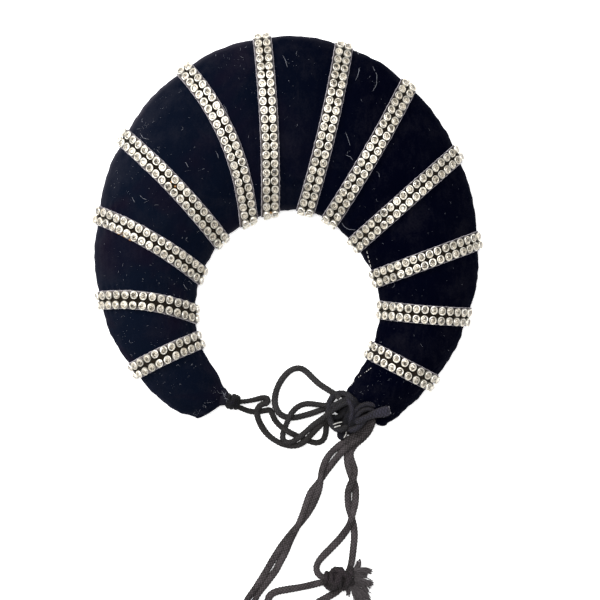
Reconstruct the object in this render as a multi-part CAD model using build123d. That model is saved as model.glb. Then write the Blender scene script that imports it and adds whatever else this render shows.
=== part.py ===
from build123d import *
import math
import os
from collections import namedtuple

# A hair ring lying on its back: a padded velvet crescent, crossed by bands of two-row stone tape,
# with tie cords at both tips, tied in a bow. The front faces +Z and the top of the ring is towards
# +Y. Sizes are in millimetres. Angles are in degrees about the ring's centre, from +X towards +Y.

# The crescent, at its widest section
HOLE_RADIUS = 34.0
BODY_WIDTH = 72.8
BODY_HEIGHT = 18.5
RIM_RADIUS = 5.0
BACK_TRIM = 0.05
CREST_SHARE = 0.55
RING_CENTRE = Vector(1.5, -27.1, 0)

# The bands of stone tape
TAPE_WIDTH = 8.3
TAPE_THICKNESS = 0.5
TAPE_GAP = 0.25
TAPE_HEM_HEIGHT = 1.7
STONE_ACROSS = 3.4
STONE_HEIGHT = 1.6
STONE_TABLE = 1.9
STONE_FACETS = 8
STONE_PITCH = 3.8
STONE_GAP = 0.25
ROW_END_MARGIN = 2.2
NECK_WIDTH = 1.0
NECK_HEIGHT = 0.6

# The cords and knots
CORD_DIAMETER = 2.0
KNOT_STRAND = 2.3
KNOT_PITCH = 2.1
KNOT_GAP = 0.3
LOBE_RADIUS = 2.3
CUT_END_WIDTH = 3.8
CUT_END_THICKNESS = 1.7
LOCK_WIDTH = 2.4
LOCK_HEIGHT = 2.6
LOCK_TIP_SHARE = 0.45

# Sections of the crescent, from the left tip over the top to the right tip: the angles of its inner
# and outer rim, the inner radius as a share of HOLE_RADIUS, the width as a share of BODY_WIDTH, and
# the height as a share of BODY_HEIGHT, which RIM_RADIUS follows.
Section = namedtuple("Section", "inner_deg outer_deg inner width height")
SECTIONS = [
    Section(239.4, 233.4, 1.506, 0.205, 0.34),
    Section(236.0, 231.5, 1.450, 0.232, 0.50),
    Section(225.0, 225.0, 1.346, 0.322, 0.64),
    Section(205.0, 205.0, 1.259, 0.425, 0.75),
    Section(185.0, 185.0, 1.173, 0.540, 0.83),
    Section(165.0, 165.0, 1.099, 0.647, 0.89),
    Section(145.0, 145.0, 1.062, 0.767, 0.94),
    Section(125.0, 125.0, 1.012, 0.902, 0.98),
    Section(105.0, 105.0, 1.000, 0.989, 1.00),
    Section(85.0, 85.0, 1.018, 0.989, 1.00),
    Section(65.0, 65.0, 1.012, 0.920, 0.98),
    Section(45.0, 45.0, 0.981, 0.819, 0.95),
    Section(25.0, 25.0, 1.006, 0.690, 0.90),
    Section(5.0, 5.0, 1.074, 0.575, 0.85),
    Section(-15.0, -15.0, 1.148, 0.471, 0.78),
    Section(-35.0, -35.0, 1.228, 0.388, 0.70),
    Section(-47.0, -45.0, 1.300, 0.335, 0.62),
    Section(-58.5, -51.0, 1.405, 0.292, 0.50),
    Section(-61.9, -53.2, 1.442, 0.272, 0.34),
]

# The bands, from the left tip to the right tip: where the middle line of each crosses the outer and
# the inner rim, how far it bows to the left of its way in, as a share of its length, and how far apart
# its two rows of stones are.
Band = namedtuple("Band", "outer_deg inner_deg bow rows")
BANDS = [
    Band(207.0, 208.6, 0.022, 4.2),
    Band(182.8, 196.3, 0.074, 4.5),
    Band(158.3, 172.3, 0.047, 4.3),
    Band(137.3, 145.1, 0.031, 4.0),
    Band(115.9, 123.6, 0.092, 3.7),
    Band(96.3, 105.8, 0.019, 3.5),
    Band(77.7, 79.9, 0.019, 3.5),
    Band(60.3, 61.2, 0.017, 3.7),
    Band(39.6, 35.4, 0.0, 4.0),
    Band(15.5, 7.5, 0.0, 4.3),
    Band(-7.7, -11.7, 0.014, 4.1),
    Band(-32.2, -36.7, 0.0, 4.2),
]

# The knots, as coils of cord wound round the strands inside them: the middle of the first turn, the
# way the coil runs, and the radius of each turn's middle line as a share of KNOT_STRAND.
Coil = namedtuple("Coil", "start axis loops")
LEFT_KNOT = [Coil((-24.3, -72.9, 3.9), (1.0, -0.2, 0.0), (1.15, 1.15, 1.10))]
MAIN_KNOT = [
    Coil((21.6, -75.0, 1.4), (0.0, 0.0, 1.0), (1.75, 1.75, 1.60)),
    Coil((22.0, -80.6, 1.4), (0.0, 0.0, 1.0), (1.80, 1.80, 1.65)),
    Coil((26.8, -77.3, 5.2), (1.0, -0.17, -0.08), (1.50, 1.60, 1.60, 1.50, 1.40, 1.25)),
]
END_KNOT = [Coil((17.9, -148.0, 4.3), (1.0, 0.0, 0.0), (1.15, 1.30, 1.30, 1.15))]
MAIN_KNOT_LOBE = (22.6, -87.0, 2.4)
CUT_END = [(32.5, -79.0, 8.8), (42.9, -76.0, 11.7)]

# The locks of the frayed tassel: where each leaves the knot and where it ends.
Lock = namedtuple("Lock", "root tip")
LOCKS = [
    Lock((24.8, -146.4, 3.2), (31.3, -139.9, 1.6)),
    Lock((25.2, -147.0, 3.4), (36.4, -144.8, 1.8)),
    Lock((25.2, -148.0, 3.0), (33.4, -147.6, 1.2)),
    Lock((25.2, -148.6, 3.0), (36.8, -150.3, 1.0)),
    Lock((25.0, -149.2, 3.0), (35.3, -155.8, 1.0)),
    Lock((24.6, -149.8, 3.0), (31.9, -160.6, 1.0)),
    Lock((23.8, -150.2, 3.0), (27.0, -162.0, 1.0)),
    Lock((23.0, -150.2, 3.0), (22.6, -158.4, 1.0)),
]

# The cords' routes, point by point. Each starts and ends inside a knot and lies on the floor, over
# or under the others. The fold beside the left knot and the small bow are folded tight.
CORDS = {
    "tie_cord_upper": [
        (-19.9, -73.4, 3.6), (-16.1, -73.0, 2.2), (-11.9, -72.4, 1.4), (-7.4, -71.7, 1.5),
        (-7.6, -74.8, 3.3), (-11.6, -74.1, 3.4), (-12.7, -77.7, 3.4), (-12.1, -81.3, 2.4),
        (-9.6, -85.5, 1.1), (-6.1, -89.0, 1.1), (-1.4, -92.1, 1.1), (3.2, -92.9, 1.3),
        (7.0, -90.7, 3.2), (9.7, -88.0, 3.4), (12.4, -85.3, 3.4), (15.4, -82.3, 3.6),
        (18.3, -79.4, 3.8),
    ],
    "tie_cord_lower": [
        (-19.9, -76.6, 2.2), (-16.8, -77.4, 1.3), (-13.0, -77.8, 1.1), (-9.4, -77.3, 1.1),
        (-6.6, -78.8, 1.1), (-4.5, -81.2, 1.6), (-2.2, -83.4, 3.5), (0.4, -84.9, 3.5),
        (3.0, -86.1, 1.6), (5.7, -87.5, 1.1), (9.1, -89.3, 1.1), (12.4, -90.6, 1.1),
        (15.9, -89.9, 1.1), (17.4, -86.7, 1.5), (17.7, -83.3, 2.2), (18.3, -79.9, 2.6),
    ],
    "bow_loop_large": [
        (22.5, -72.0, 5.6), (17.9, -68.3, 5.2), (12.8, -64.9, 3.4), (8.2, -61.4, 1.1),
        (4.0, -59.1, 1.1), (0.4, -60.7, 1.1), (-2.2, -64.5, 1.1), (-3.5, -68.7, 1.1),
        (-3.9, -72.9, 1.1), (-3.0, -76.7, 1.1), (-0.4, -79.3, 1.1), (3.2, -80.0, 1.1),
        (7.2, -79.1, 1.1), (11.2, -77.8, 1.1), (15.2, -76.7, 1.7), (18.7, -75.6, 2.4),
    ],
    "bow_loop_small": [
        (19.6, -74.1, 4.6), (15.4, -74.4, 3.8), (11.2, -73.7, 2.0), (7.4, -74.0, 1.6),
        (4.4, -75.4, 3.2), (2.2, -77.6, 3.7), (0.7, -80.1, 3.6), (-0.3, -82.5, 1.8),
        (-1.0, -85.1, 1.1), (-1.9, -87.6, 1.1), (-0.8, -90.0, 1.1), (2.3, -90.0, 1.7),
        (4.9, -87.8, 3.8), (7.4, -85.4, 3.8), (10.3, -82.9, 3.7), (13.7, -80.3, 4.6),
        (16.1, -78.7, 5.3), (18.6, -76.6, 5.6),
    ],
    "tail_cord_1": [
        (31.3, -80.9, 4.2), (29.6, -84.3, 3.3), (26.8, -87.3, 2.1), (23.3, -90.0, 1.1),
        (19.9, -93.6, 1.1), (17.0, -97.7, 1.1), (15.2, -102.1, 2.7), (14.9, -106.5, 3.6),
        (14.4, -110.9, 2.7), (12.6, -115.5, 1.1), (9.1, -120.8, 1.1), (5.1, -125.6, 1.1),
        (0.9, -130.2, 1.1), (-3.1, -135.0, 1.1), (-6.8, -140.3, 1.1), (-10.5, -146.0, 1.1),
        (-14.2, -151.4, 1.1), (-17.4, -157.3, 1.1), (-18.7, -163.6, 1.1), (-16.3, -169.5, 1.1),
        (-10.5, -172.8, 1.1), (-3.3, -172.0, 1.1), (3.0, -168.0, 1.1), (8.4, -162.5, 1.1),
        (13.5, -157.1, 1.1), (18.1, -152.5, 2.2), (20.9, -150.0, 3.4),
    ],
    "tail_cord_2": [
        (33.6, -80.7, 5.2), (31.5, -84.6, 4.9), (28.4, -87.9, 3.9), (25.6, -91.2, 3.3),
        (23.3, -94.8, 2.2), (20.5, -98.7, 1.1), (17.5, -102.6, 1.1), (14.5, -106.7, 1.1),
        (11.2, -110.7, 1.1), (8.6, -114.7, 1.1), (7.1, -118.9, 1.3), (6.1, -122.9, 3.2),
        (4.4, -126.6, 3.5), (2.5, -130.6, 3.4), (0.2, -135.0, 1.6), (-2.8, -140.5, 1.1),
        (-6.1, -145.5, 1.1), (-9.4, -150.4, 1.1), (-12.2, -155.2, 1.1), (-13.4, -159.8, 1.1),
        (-12.1, -164.2, 1.1), (-8.7, -165.5, 1.1), (-6.3, -162.3, 1.1), (-6.4, -157.5, 1.1),
        (-4.0, -153.3, 1.1), (1.3, -151.5, 1.1), (7.0, -150.1, 1.1), (12.4, -149.2, 2.2),
        (17.5, -148.9, 3.9),
    ],
    "tail_cord_3": [
        (35.7, -80.0, 2.8), (33.8, -84.8, 2.0), (30.5, -88.6, 1.1), (27.2, -92.3, 1.1),
        (25.6, -96.7, 1.1), (25.7, -101.2, 1.1), (27.5, -105.4, 1.1), (30.2, -109.2, 1.1),
        (30.8, -113.6, 1.1), (29.1, -117.8, 2.7), (27.4, -121.2, 3.5), (26.2, -124.8, 2.8),
        (23.3, -129.6, 1.1), (19.3, -133.6, 1.1), (15.4, -137.3, 1.1), (12.8, -141.6, 1.1),
        (14.3, -144.9, 2.0), (18.3, -146.3, 2.9),
    ],
    "tail_cord_4": [
        (38.0, -80.7, 1.6), (37.4, -85.5, 1.1), (34.3, -89.9, 1.1), (31.0, -93.8, 1.1),
        (29.6, -98.2, 1.1), (29.2, -101.7, 2.2), (28.0, -104.6, 3.4), (26.3, -107.3, 3.4),
        (25.1, -110.5, 2.0), (24.9, -114.5, 1.1), (26.1, -118.4, 1.1), (28.0, -123.1, 1.1),
        (29.0, -128.1, 1.1), (28.5, -133.6, 1.1), (27.5, -138.8, 1.4), (26.7, -143.0, 2.6),
        (25.4, -146.4, 3.4),
    ],
}


def polar(angle, radius):
    """Point on the floor at an angle and radius from the ring's centre."""
    turn = math.radians(angle)
    return RING_CENTRE + Vector(radius * math.cos(turn), radius * math.sin(turn), 0)


def rim_point(angle, outer, beyond=0.0):
    """Point on the floor below the inner or outer rim, straight between the sections."""
    rows = []
    for row in SECTIONS:
        inner = row.inner * HOLE_RADIUS
        if outer:
            rows.append((row.outer_deg, inner + row.width * BODY_WIDTH))
        else:
            rows.append((row.inner_deg, inner))
    for (high, radius_high), (low, radius_low) in zip(rows, rows[1:]):
        if low <= angle <= high:
            share = (angle - low) / (high - low)
            return polar(angle, radius_low + share * (radius_high - radius_low) + beyond)
    raise ValueError("angle outside the crescent")


def section_face(row, grow):
    """Profile of the padding: flat back, rolled rims, and a front of two arcs that meet at the crest.
    Growing it moves every arc outwards from its own centre."""
    inner = polar(row.inner_deg, row.inner * HOLE_RADIUS)
    outer = polar(row.outer_deg, row.inner * HOLE_RADIUS + row.width * BODY_WIDTH)
    width = (outer - inner).length
    across = (outer - inner).normalized()
    height = row.height * BODY_HEIGHT
    rim = row.height * RIM_RADIUS
    crest = CREST_SHARE * width

    def place(along, up):
        return inner + across * along + Vector(0, 0, up)

    def arc(along, up, radius, start, end):
        angles = [math.radians(a) for a in (start, (start + end) / 2, end)]
        return ThreePointArc(
            *[place(along + radius * math.cos(a), up + radius * math.sin(a)) for a in angles]
        )

    def side(reach):
        """Radius of the front arc that is tangent to a rim this far from the crest, and its slope."""
        rise = height - rim
        front = (reach**2 + rise**2 - rim**2) / (2 * (rise - rim))
        return front, math.degrees(math.atan2(rim - height + front, reach))

    outer_front, outer_meet = side(width - rim - crest)
    inner_front, inner_meet = side(crest - rim)
    edges = [
        Line(place(rim, -grow), place(width - rim, -grow)),
        arc(width - rim, rim, rim + grow, -90, outer_meet),
        arc(crest, height - outer_front, outer_front + grow, outer_meet, 90),
        arc(crest, height - inner_front, inner_front + grow, 90, 180 - inner_meet),
        arc(rim, rim, rim + grow, 180 - inner_meet, 270),
    ]
    return Face(Wire(edges))


def crescent(grow):
    """The padding, grown all round by a clearance."""
    return loft([section_face(row, grow) for row in SECTIONS])


def padding_solid():
    """The padding with its back trimmed to one flat face, which lies on the floor."""
    reach = 3 * (HOLE_RADIUS + BODY_WIDTH)
    floor = Pos(RING_CENTRE.X, RING_CENTRE.Y, BACK_TRIM - BODY_HEIGHT) * Box(reach, reach, 2 * BODY_HEIGHT)
    return Pos(0, 0, -BACK_TRIM) * largest(crescent(0) - floor)


def band_line(band, shift):
    """Middle line of a band in plan, shifted to the left of its way in, from outside the outer rim to
    inside the inner rim. A bowed line is an arc, and shifting it changes its radius."""
    reach = TAPE_GAP + TAPE_THICKNESS + RIM_RADIUS / 2
    start = rim_point(band.outer_deg, True, reach)
    end = rim_point(band.inner_deg, False, -reach)
    length = (end - start).length
    forward = (end - start).normalized()
    left = Vector(-forward.Y, forward.X, 0)
    if band.bow == 0:
        return Line(start + left * shift, end + left * shift)
    rise = band.bow * length
    radius = (length**2 / 4 + rise**2) / (2 * abs(rise))
    side = math.copysign(1, rise)
    middle = (start + end) / 2
    centre = middle + left * (rise - side * radius)
    scale = (radius + side * shift) / radius
    points = [centre + (p - centre) * scale for p in (start, middle + left * rise, end)]
    return ThreePointArc(*points)


def tape_block(band):
    """Upright block over a band's plan, down to where the tape turns in under the rims."""
    near = band_line(band, TAPE_WIDTH / 2)
    far = band_line(band, -TAPE_WIDTH / 2)
    outline = Wire([near, Line(near @ 1, far @ 1), far, Line(far @ 0, near @ 0)])
    foot = Face(outline).moved(Location((0, 0, TAPE_HEM_HEIGHT)))
    return extrude(foot, 2 * BODY_HEIGHT, dir=(0, 0, 1))


def stone_pair(rows):
    """Two faceted stones side by side across the tape, their middles as far apart as its two rows, with
    the neck that joins their cups. The base lies on the plane and the tables face up."""
    flat_to_corner = 2 * math.cos(math.pi / STONE_FACETS)
    turn = 180 / STONE_FACETS
    pair = Pos(0, 0, NECK_HEIGHT / 2) * Box(NECK_WIDTH, rows, NECK_HEIGHT)
    for side in (-1, 1):
        middle = side * rows / 2
        base = RegularPolygon(STONE_ACROSS / flat_to_corner, STONE_FACETS, rotation=turn)
        table = RegularPolygon(STONE_TABLE / flat_to_corner, STONE_FACETS, rotation=turn)
        pair += loft([Pos(0, middle, 0) * base, Pos(0, middle, STONE_HEIGHT) * table], ruled=True)
    return pair


def row_line(band, skin, shift):
    """Line that a row of stones follows over the tape, from the back at the outer rim to the back at
    the inner rim."""
    plan = band_line(band, shift)
    sheet = Face.extrude(plan.edge(), (0, 0, 2 * BODY_HEIGHT))
    cut = (sheet & skin).faces()[0]
    return Wire([e for e in cut.outer_wire().edges() if (e @ 0.5).Z > TAPE_HEM_HEIGHT / 2])


def stone_field(band, skin):
    """Every pair of stones of one band, evenly spaced over the tape from rim to rim."""
    rows = []
    for shift in (band.rows / 2, -band.rows / 2):
        line = row_line(band, skin, shift)
        plan = band_line(band, shift)
        crest = (plan @ (1 - CREST_SHARE)) + Vector(0, 0, BODY_HEIGHT)
        way = 1 if ((line @ 0) - (plan @ 0)).length < ((line @ 1) - (plan @ 0)).length else -1
        middle = line.length / 2
        for _ in range(4):
            here = line.position_at(middle, PositionMode.LENGTH)
            ahead = line.tangent_at(middle, PositionMode.LENGTH)
            middle += (crest - here).dot(ahead)
        rows.append((line, middle, way))
    before = min(m if way > 0 else line.length - m for line, m, way in rows)
    after = min(line.length - m if way > 0 else m for line, m, way in rows)
    room = before + after - 2 * (TAPE_HEM_HEIGHT + ROW_END_MARGIN)
    count = int(room / STONE_PITCH) + 1
    first = (after - before - (count - 1) * STONE_PITCH) / 2
    pair = stone_pair(band.rows)
    stones = []
    for index in range(count):
        step = first + index * STONE_PITCH
        ends = [line.position_at(m + way * step, PositionMode.LENGTH) for line, m, way in rows]
        ways = [line.tangent_at(m + way * step, PositionMode.LENGTH) * way for line, m, way in rows]
        across = (ends[0] - ends[1]).normalized()
        forward = ways[0] + ways[1]
        forward = (forward - across * forward.dot(across)).normalized()
        outward = forward.cross(across)
        base = (ends[0] + ends[1]) / 2 + outward * STONE_GAP
        stones.append(Plane(origin=base, x_dir=forward, z_dir=outward) * pair)
    return stones


def wound(coil):
    """A coil of cord turned from one profile: an arc over each turn, down to the coil's own axis."""
    radius = KNOT_STRAND / 2
    middles = [Vector(i * KNOT_PITCH, loop * KNOT_STRAND, 0) for i, loop in enumerate(coil.loops)]
    meets = [middles[0] - Vector(radius, 0, 0)]
    for here, there in zip(middles, middles[1:]):
        between = there - here
        rise = math.sqrt(radius**2 - between.length**2 / 4)
        meets.append((here + there) / 2 + Vector(-between.Y, between.X, 0).normalized() * rise)
    meets.append(middles[-1] + Vector(radius, 0, 0))
    edges = []
    for middle, start, end in zip(middles, meets, meets[1:]):
        top = middle + ((start - middle) + (end - middle)).normalized() * radius
        edges.append(ThreePointArc(start, top, end))
    first = Vector(meets[0].X, 0, 0)
    last = Vector(meets[-1].X, 0, 0)
    edges += [Line(meets[-1], last), Line(last, first), Line(first, meets[0])]
    along = Vector(*coil.axis).normalized()
    side = along.cross(Vector(0.1, 1, 0.2)).normalized()
    profile = Plane(origin=coil.start, x_dir=along, z_dir=side) * Face(Wire(edges))
    return revolve(profile, Axis(coil.start, along), 360)


def knot(coils, extras, padding):
    """A knot as one solid: its coils, cut away where they would press into the padding, and the
    pieces that are clear of it."""
    solid = wound(coils[0]) - padding
    for coil in coils[1:]:
        solid += wound(coil) - padding
    for extra in extras:
        solid += extra
    return largest(solid)


def largest(shape):
    """The biggest solid of a cut, without crumbs."""
    return max(shape.solids(), key=lambda solid: solid.volume)


def cut_end():
    """The flat cut end of the cord, which lies over the right tip."""
    start = Vector(*CUT_END[0])
    end = Vector(*CUT_END[1])
    along = (end - start).normalized()
    side = Vector(0, 0, 1).cross(along).normalized()
    section = Plane(origin=start, x_dir=side, z_dir=along)
    flat = section * Ellipse(CUT_END_WIDTH / 2, CUT_END_THICKNESS / 2)
    return extrude(flat, (end - start).length, dir=along)


def tassel_lock(lock):
    """One lock of frayed strands, tapered from the knot to its tip."""
    root = Vector(*lock.root)
    tip = Vector(*lock.tip)
    along = (tip - root).normalized()
    side = Vector(0, 0, 1).cross(along).normalized()
    faces = []
    for point, share in ((root, 1.0), (tip, LOCK_TIP_SHARE)):
        plane = Plane(origin=point, x_dir=side, z_dir=along)
        faces.append(plane * Ellipse(LOCK_WIDTH / 2 * share, LOCK_HEIGHT / 2 * share))
    return loft(faces)


def cord_path(points):
    """Route with straight runs and an arc at every point. Returns the path and the arcs' radii."""
    radii = []
    for before, corner, after in zip(points, points[1:], points[2:]):
        first = corner - before
        second = after - corner
        half_turn = math.radians(first.get_angle(second)) / 2
        shorter = min(first.length, second.length)
        radii.append(0.45 * shorter / math.tan(half_turn))
    return FilletPolyline(*points, radius=radii), radii


def cord(name, knots):
    """Tube along a cord's route, ended where it meets a knot."""
    path, radii = cord_path([Vector(*point) for point in CORDS[name]])
    section = Plane(origin=path @ 0, z_dir=path % 0) * Circle(CORD_DIAMETER / 2)
    tube = sweep(section, path)
    full = math.pi / 4 * CORD_DIAMETER**2 * path.length
    swept = tube.volume / full
    for other in knots:
        tube = tube - other
    body = largest(tube)
    print(
        f"{name}: length {path.length:.1f}, smallest radius {min(radii):.1f}, "
        f"volume {swept:.3f} of section times length, "
        f"{body.volume / full:.2f} left after the knots"
    )
    return body


def main():
    os.makedirs("parts", exist_ok=True)
    padding = padding_solid()
    inside = crescent(TAPE_GAP)
    outside = crescent(TAPE_GAP + TAPE_THICKNESS)
    knot_room = crescent(KNOT_GAP)
    parts = {"velvet_ring": padding}
    total = 0
    for number, band in enumerate(BANDS, start=1):
        parts[f"band_tape_{number:02d}"] = largest((tape_block(band) & outside) - inside)
        stones = stone_field(band, outside)
        total += len(stones)
        print(f"band {number:02d}: {len(stones)} pairs of stones")
        parts[f"band_stones_{number:02d}"] = Compound(children=stones)
    print(f"{total} pairs of stones")
    lobe = Pos(*MAIN_KNOT_LOBE) * Sphere(LOBE_RADIUS)
    parts["left_knot"] = knot(LEFT_KNOT, [], knot_room)
    parts["main_knot"] = knot(MAIN_KNOT, [lobe, cut_end()], knot_room)
    parts["end_knot"] = knot(END_KNOT, [tassel_lock(lock) for lock in LOCKS], knot_room)
    knots = [parts["left_knot"], parts["main_knot"], parts["end_knot"]]
    for name in CORDS:
        parts[name] = cord(name, knots)
    for name, shape in parts.items():
        export_step(shape, f"parts/{name}.step")


if __name__ == "__main__":
    main()
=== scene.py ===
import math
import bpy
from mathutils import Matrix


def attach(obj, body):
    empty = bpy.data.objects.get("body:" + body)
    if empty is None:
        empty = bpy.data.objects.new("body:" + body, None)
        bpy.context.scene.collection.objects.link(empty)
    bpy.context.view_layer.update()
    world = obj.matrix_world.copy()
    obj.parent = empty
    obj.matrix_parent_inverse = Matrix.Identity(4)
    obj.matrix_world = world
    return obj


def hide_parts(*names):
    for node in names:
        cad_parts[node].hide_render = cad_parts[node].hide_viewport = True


bl_info = {
    "name": "Velvet hair ring",
    "version": (1, 0, 0),
    "blender": (4, 5, 0),
    "location": "3D View > Sidebar > Hair ring",
    "description": "Builds a padded velvet hair ring with bands of stone tape, tie cords and knots",
    "category": "Add Mesh",
}

import bmesh
import bpy
import numpy as np
from bpy.props import FloatProperty, FloatVectorProperty, IntProperty, PointerProperty
from mathutils import Vector

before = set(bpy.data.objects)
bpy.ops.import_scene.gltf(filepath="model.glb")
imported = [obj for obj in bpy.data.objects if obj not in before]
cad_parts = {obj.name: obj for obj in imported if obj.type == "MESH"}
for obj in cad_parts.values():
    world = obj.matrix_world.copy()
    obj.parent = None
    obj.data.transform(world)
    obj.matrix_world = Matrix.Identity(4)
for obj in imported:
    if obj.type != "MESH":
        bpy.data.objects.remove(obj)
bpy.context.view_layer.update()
ROOT = "root"

# All lengths in this file are millimetres, as in the part's source, and become metres in the meshes.
MM = 0.001
# Millimetres for one pixel of the photograph
PIXEL = 0.42

# The crescent, with the values of the part's source. Its angles and radii are counted from the centre.
CENTRE = np.array([1.5, -27.1])
# Column and row of the centre in the photograph
PHOTO_CENTRE = (290, 292)
HOLE_RADIUS = 34.0
BODY_WIDTH = 72.8
BODY_HEIGHT = 18.5
RIM_RADIUS = 5.0
CREST_SHARE = 0.55
HEM_HEIGHT = 1.7
ROW_END_MARGIN = 2.2
CAD_TAPE_TOP = 0.75

# Inner and outer angle of each section, its inner radius, width and height as shares. The widths are up
# to 0.008 over those of the part's source, because the photograph's edge lies a little further out.
SECTIONS = np.array([
    (239.4, 233.4, 1.506, 0.206, 0.34),
    (236.0, 231.5, 1.450, 0.233, 0.50),
    (225.0, 225.0, 1.346, 0.323, 0.64),
    (205.0, 205.0, 1.259, 0.426, 0.75),
    (185.0, 185.0, 1.173, 0.541, 0.83),
    (165.0, 165.0, 1.099, 0.648, 0.89),
    (145.0, 145.0, 1.062, 0.768, 0.94),
    (125.0, 125.0, 1.012, 0.904, 0.98),
    (105.0, 105.0, 1.000, 0.993, 1.00),
    (85.0, 85.0, 1.018, 0.997, 1.00),
    (65.0, 65.0, 1.012, 0.928, 0.98),
    (45.0, 45.0, 0.981, 0.827, 0.95),
    (25.0, 25.0, 1.006, 0.698, 0.90),
    (5.0, 5.0, 1.074, 0.583, 0.85),
    (-15.0, -15.0, 1.148, 0.479, 0.78),
    (-35.0, -35.0, 1.228, 0.396, 0.70),
    (-47.0, -45.0, 1.300, 0.343, 0.62),
    (-58.5, -51.0, 1.405, 0.300, 0.50),
    (-61.9, -53.2, 1.442, 0.280, 0.34),
])

# Outer angle, inner angle and bow of each band of stone tape, and how far apart its two rows are, from
# the left tip to the right tip. Four pairs of rows are closer than in the part's source, as photographed.
BANDS = [
    (207.0, 208.6, 0.022, 4.2),
    (182.8, 196.3, 0.074, 4.3),
    (158.3, 172.3, 0.047, 4.1),
    (137.3, 145.1, 0.031, 4.0),
    (115.9, 123.6, 0.092, 3.7),
    (96.3, 105.8, 0.019, 3.5),
    (77.7, 79.9, 0.019, 3.5),
    (60.3, 61.2, 0.017, 3.7),
    (39.6, 35.4, 0.0, 3.9),
    (15.5, 7.5, 0.0, 3.85),
    (-7.7, -11.7, 0.014, 4.1),
    (-32.2, -36.7, 0.0, 4.2),
]

# How much closer than the tape's pitch the photograph shows the stones of each band, as a share of it
STONES_CLOSER = [0.03, 0.01, 0.065, 0.05, 0.03, 0.02, 0.02, 0.04, 0.06, 0.08, 0.08, 0.01]

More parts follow.
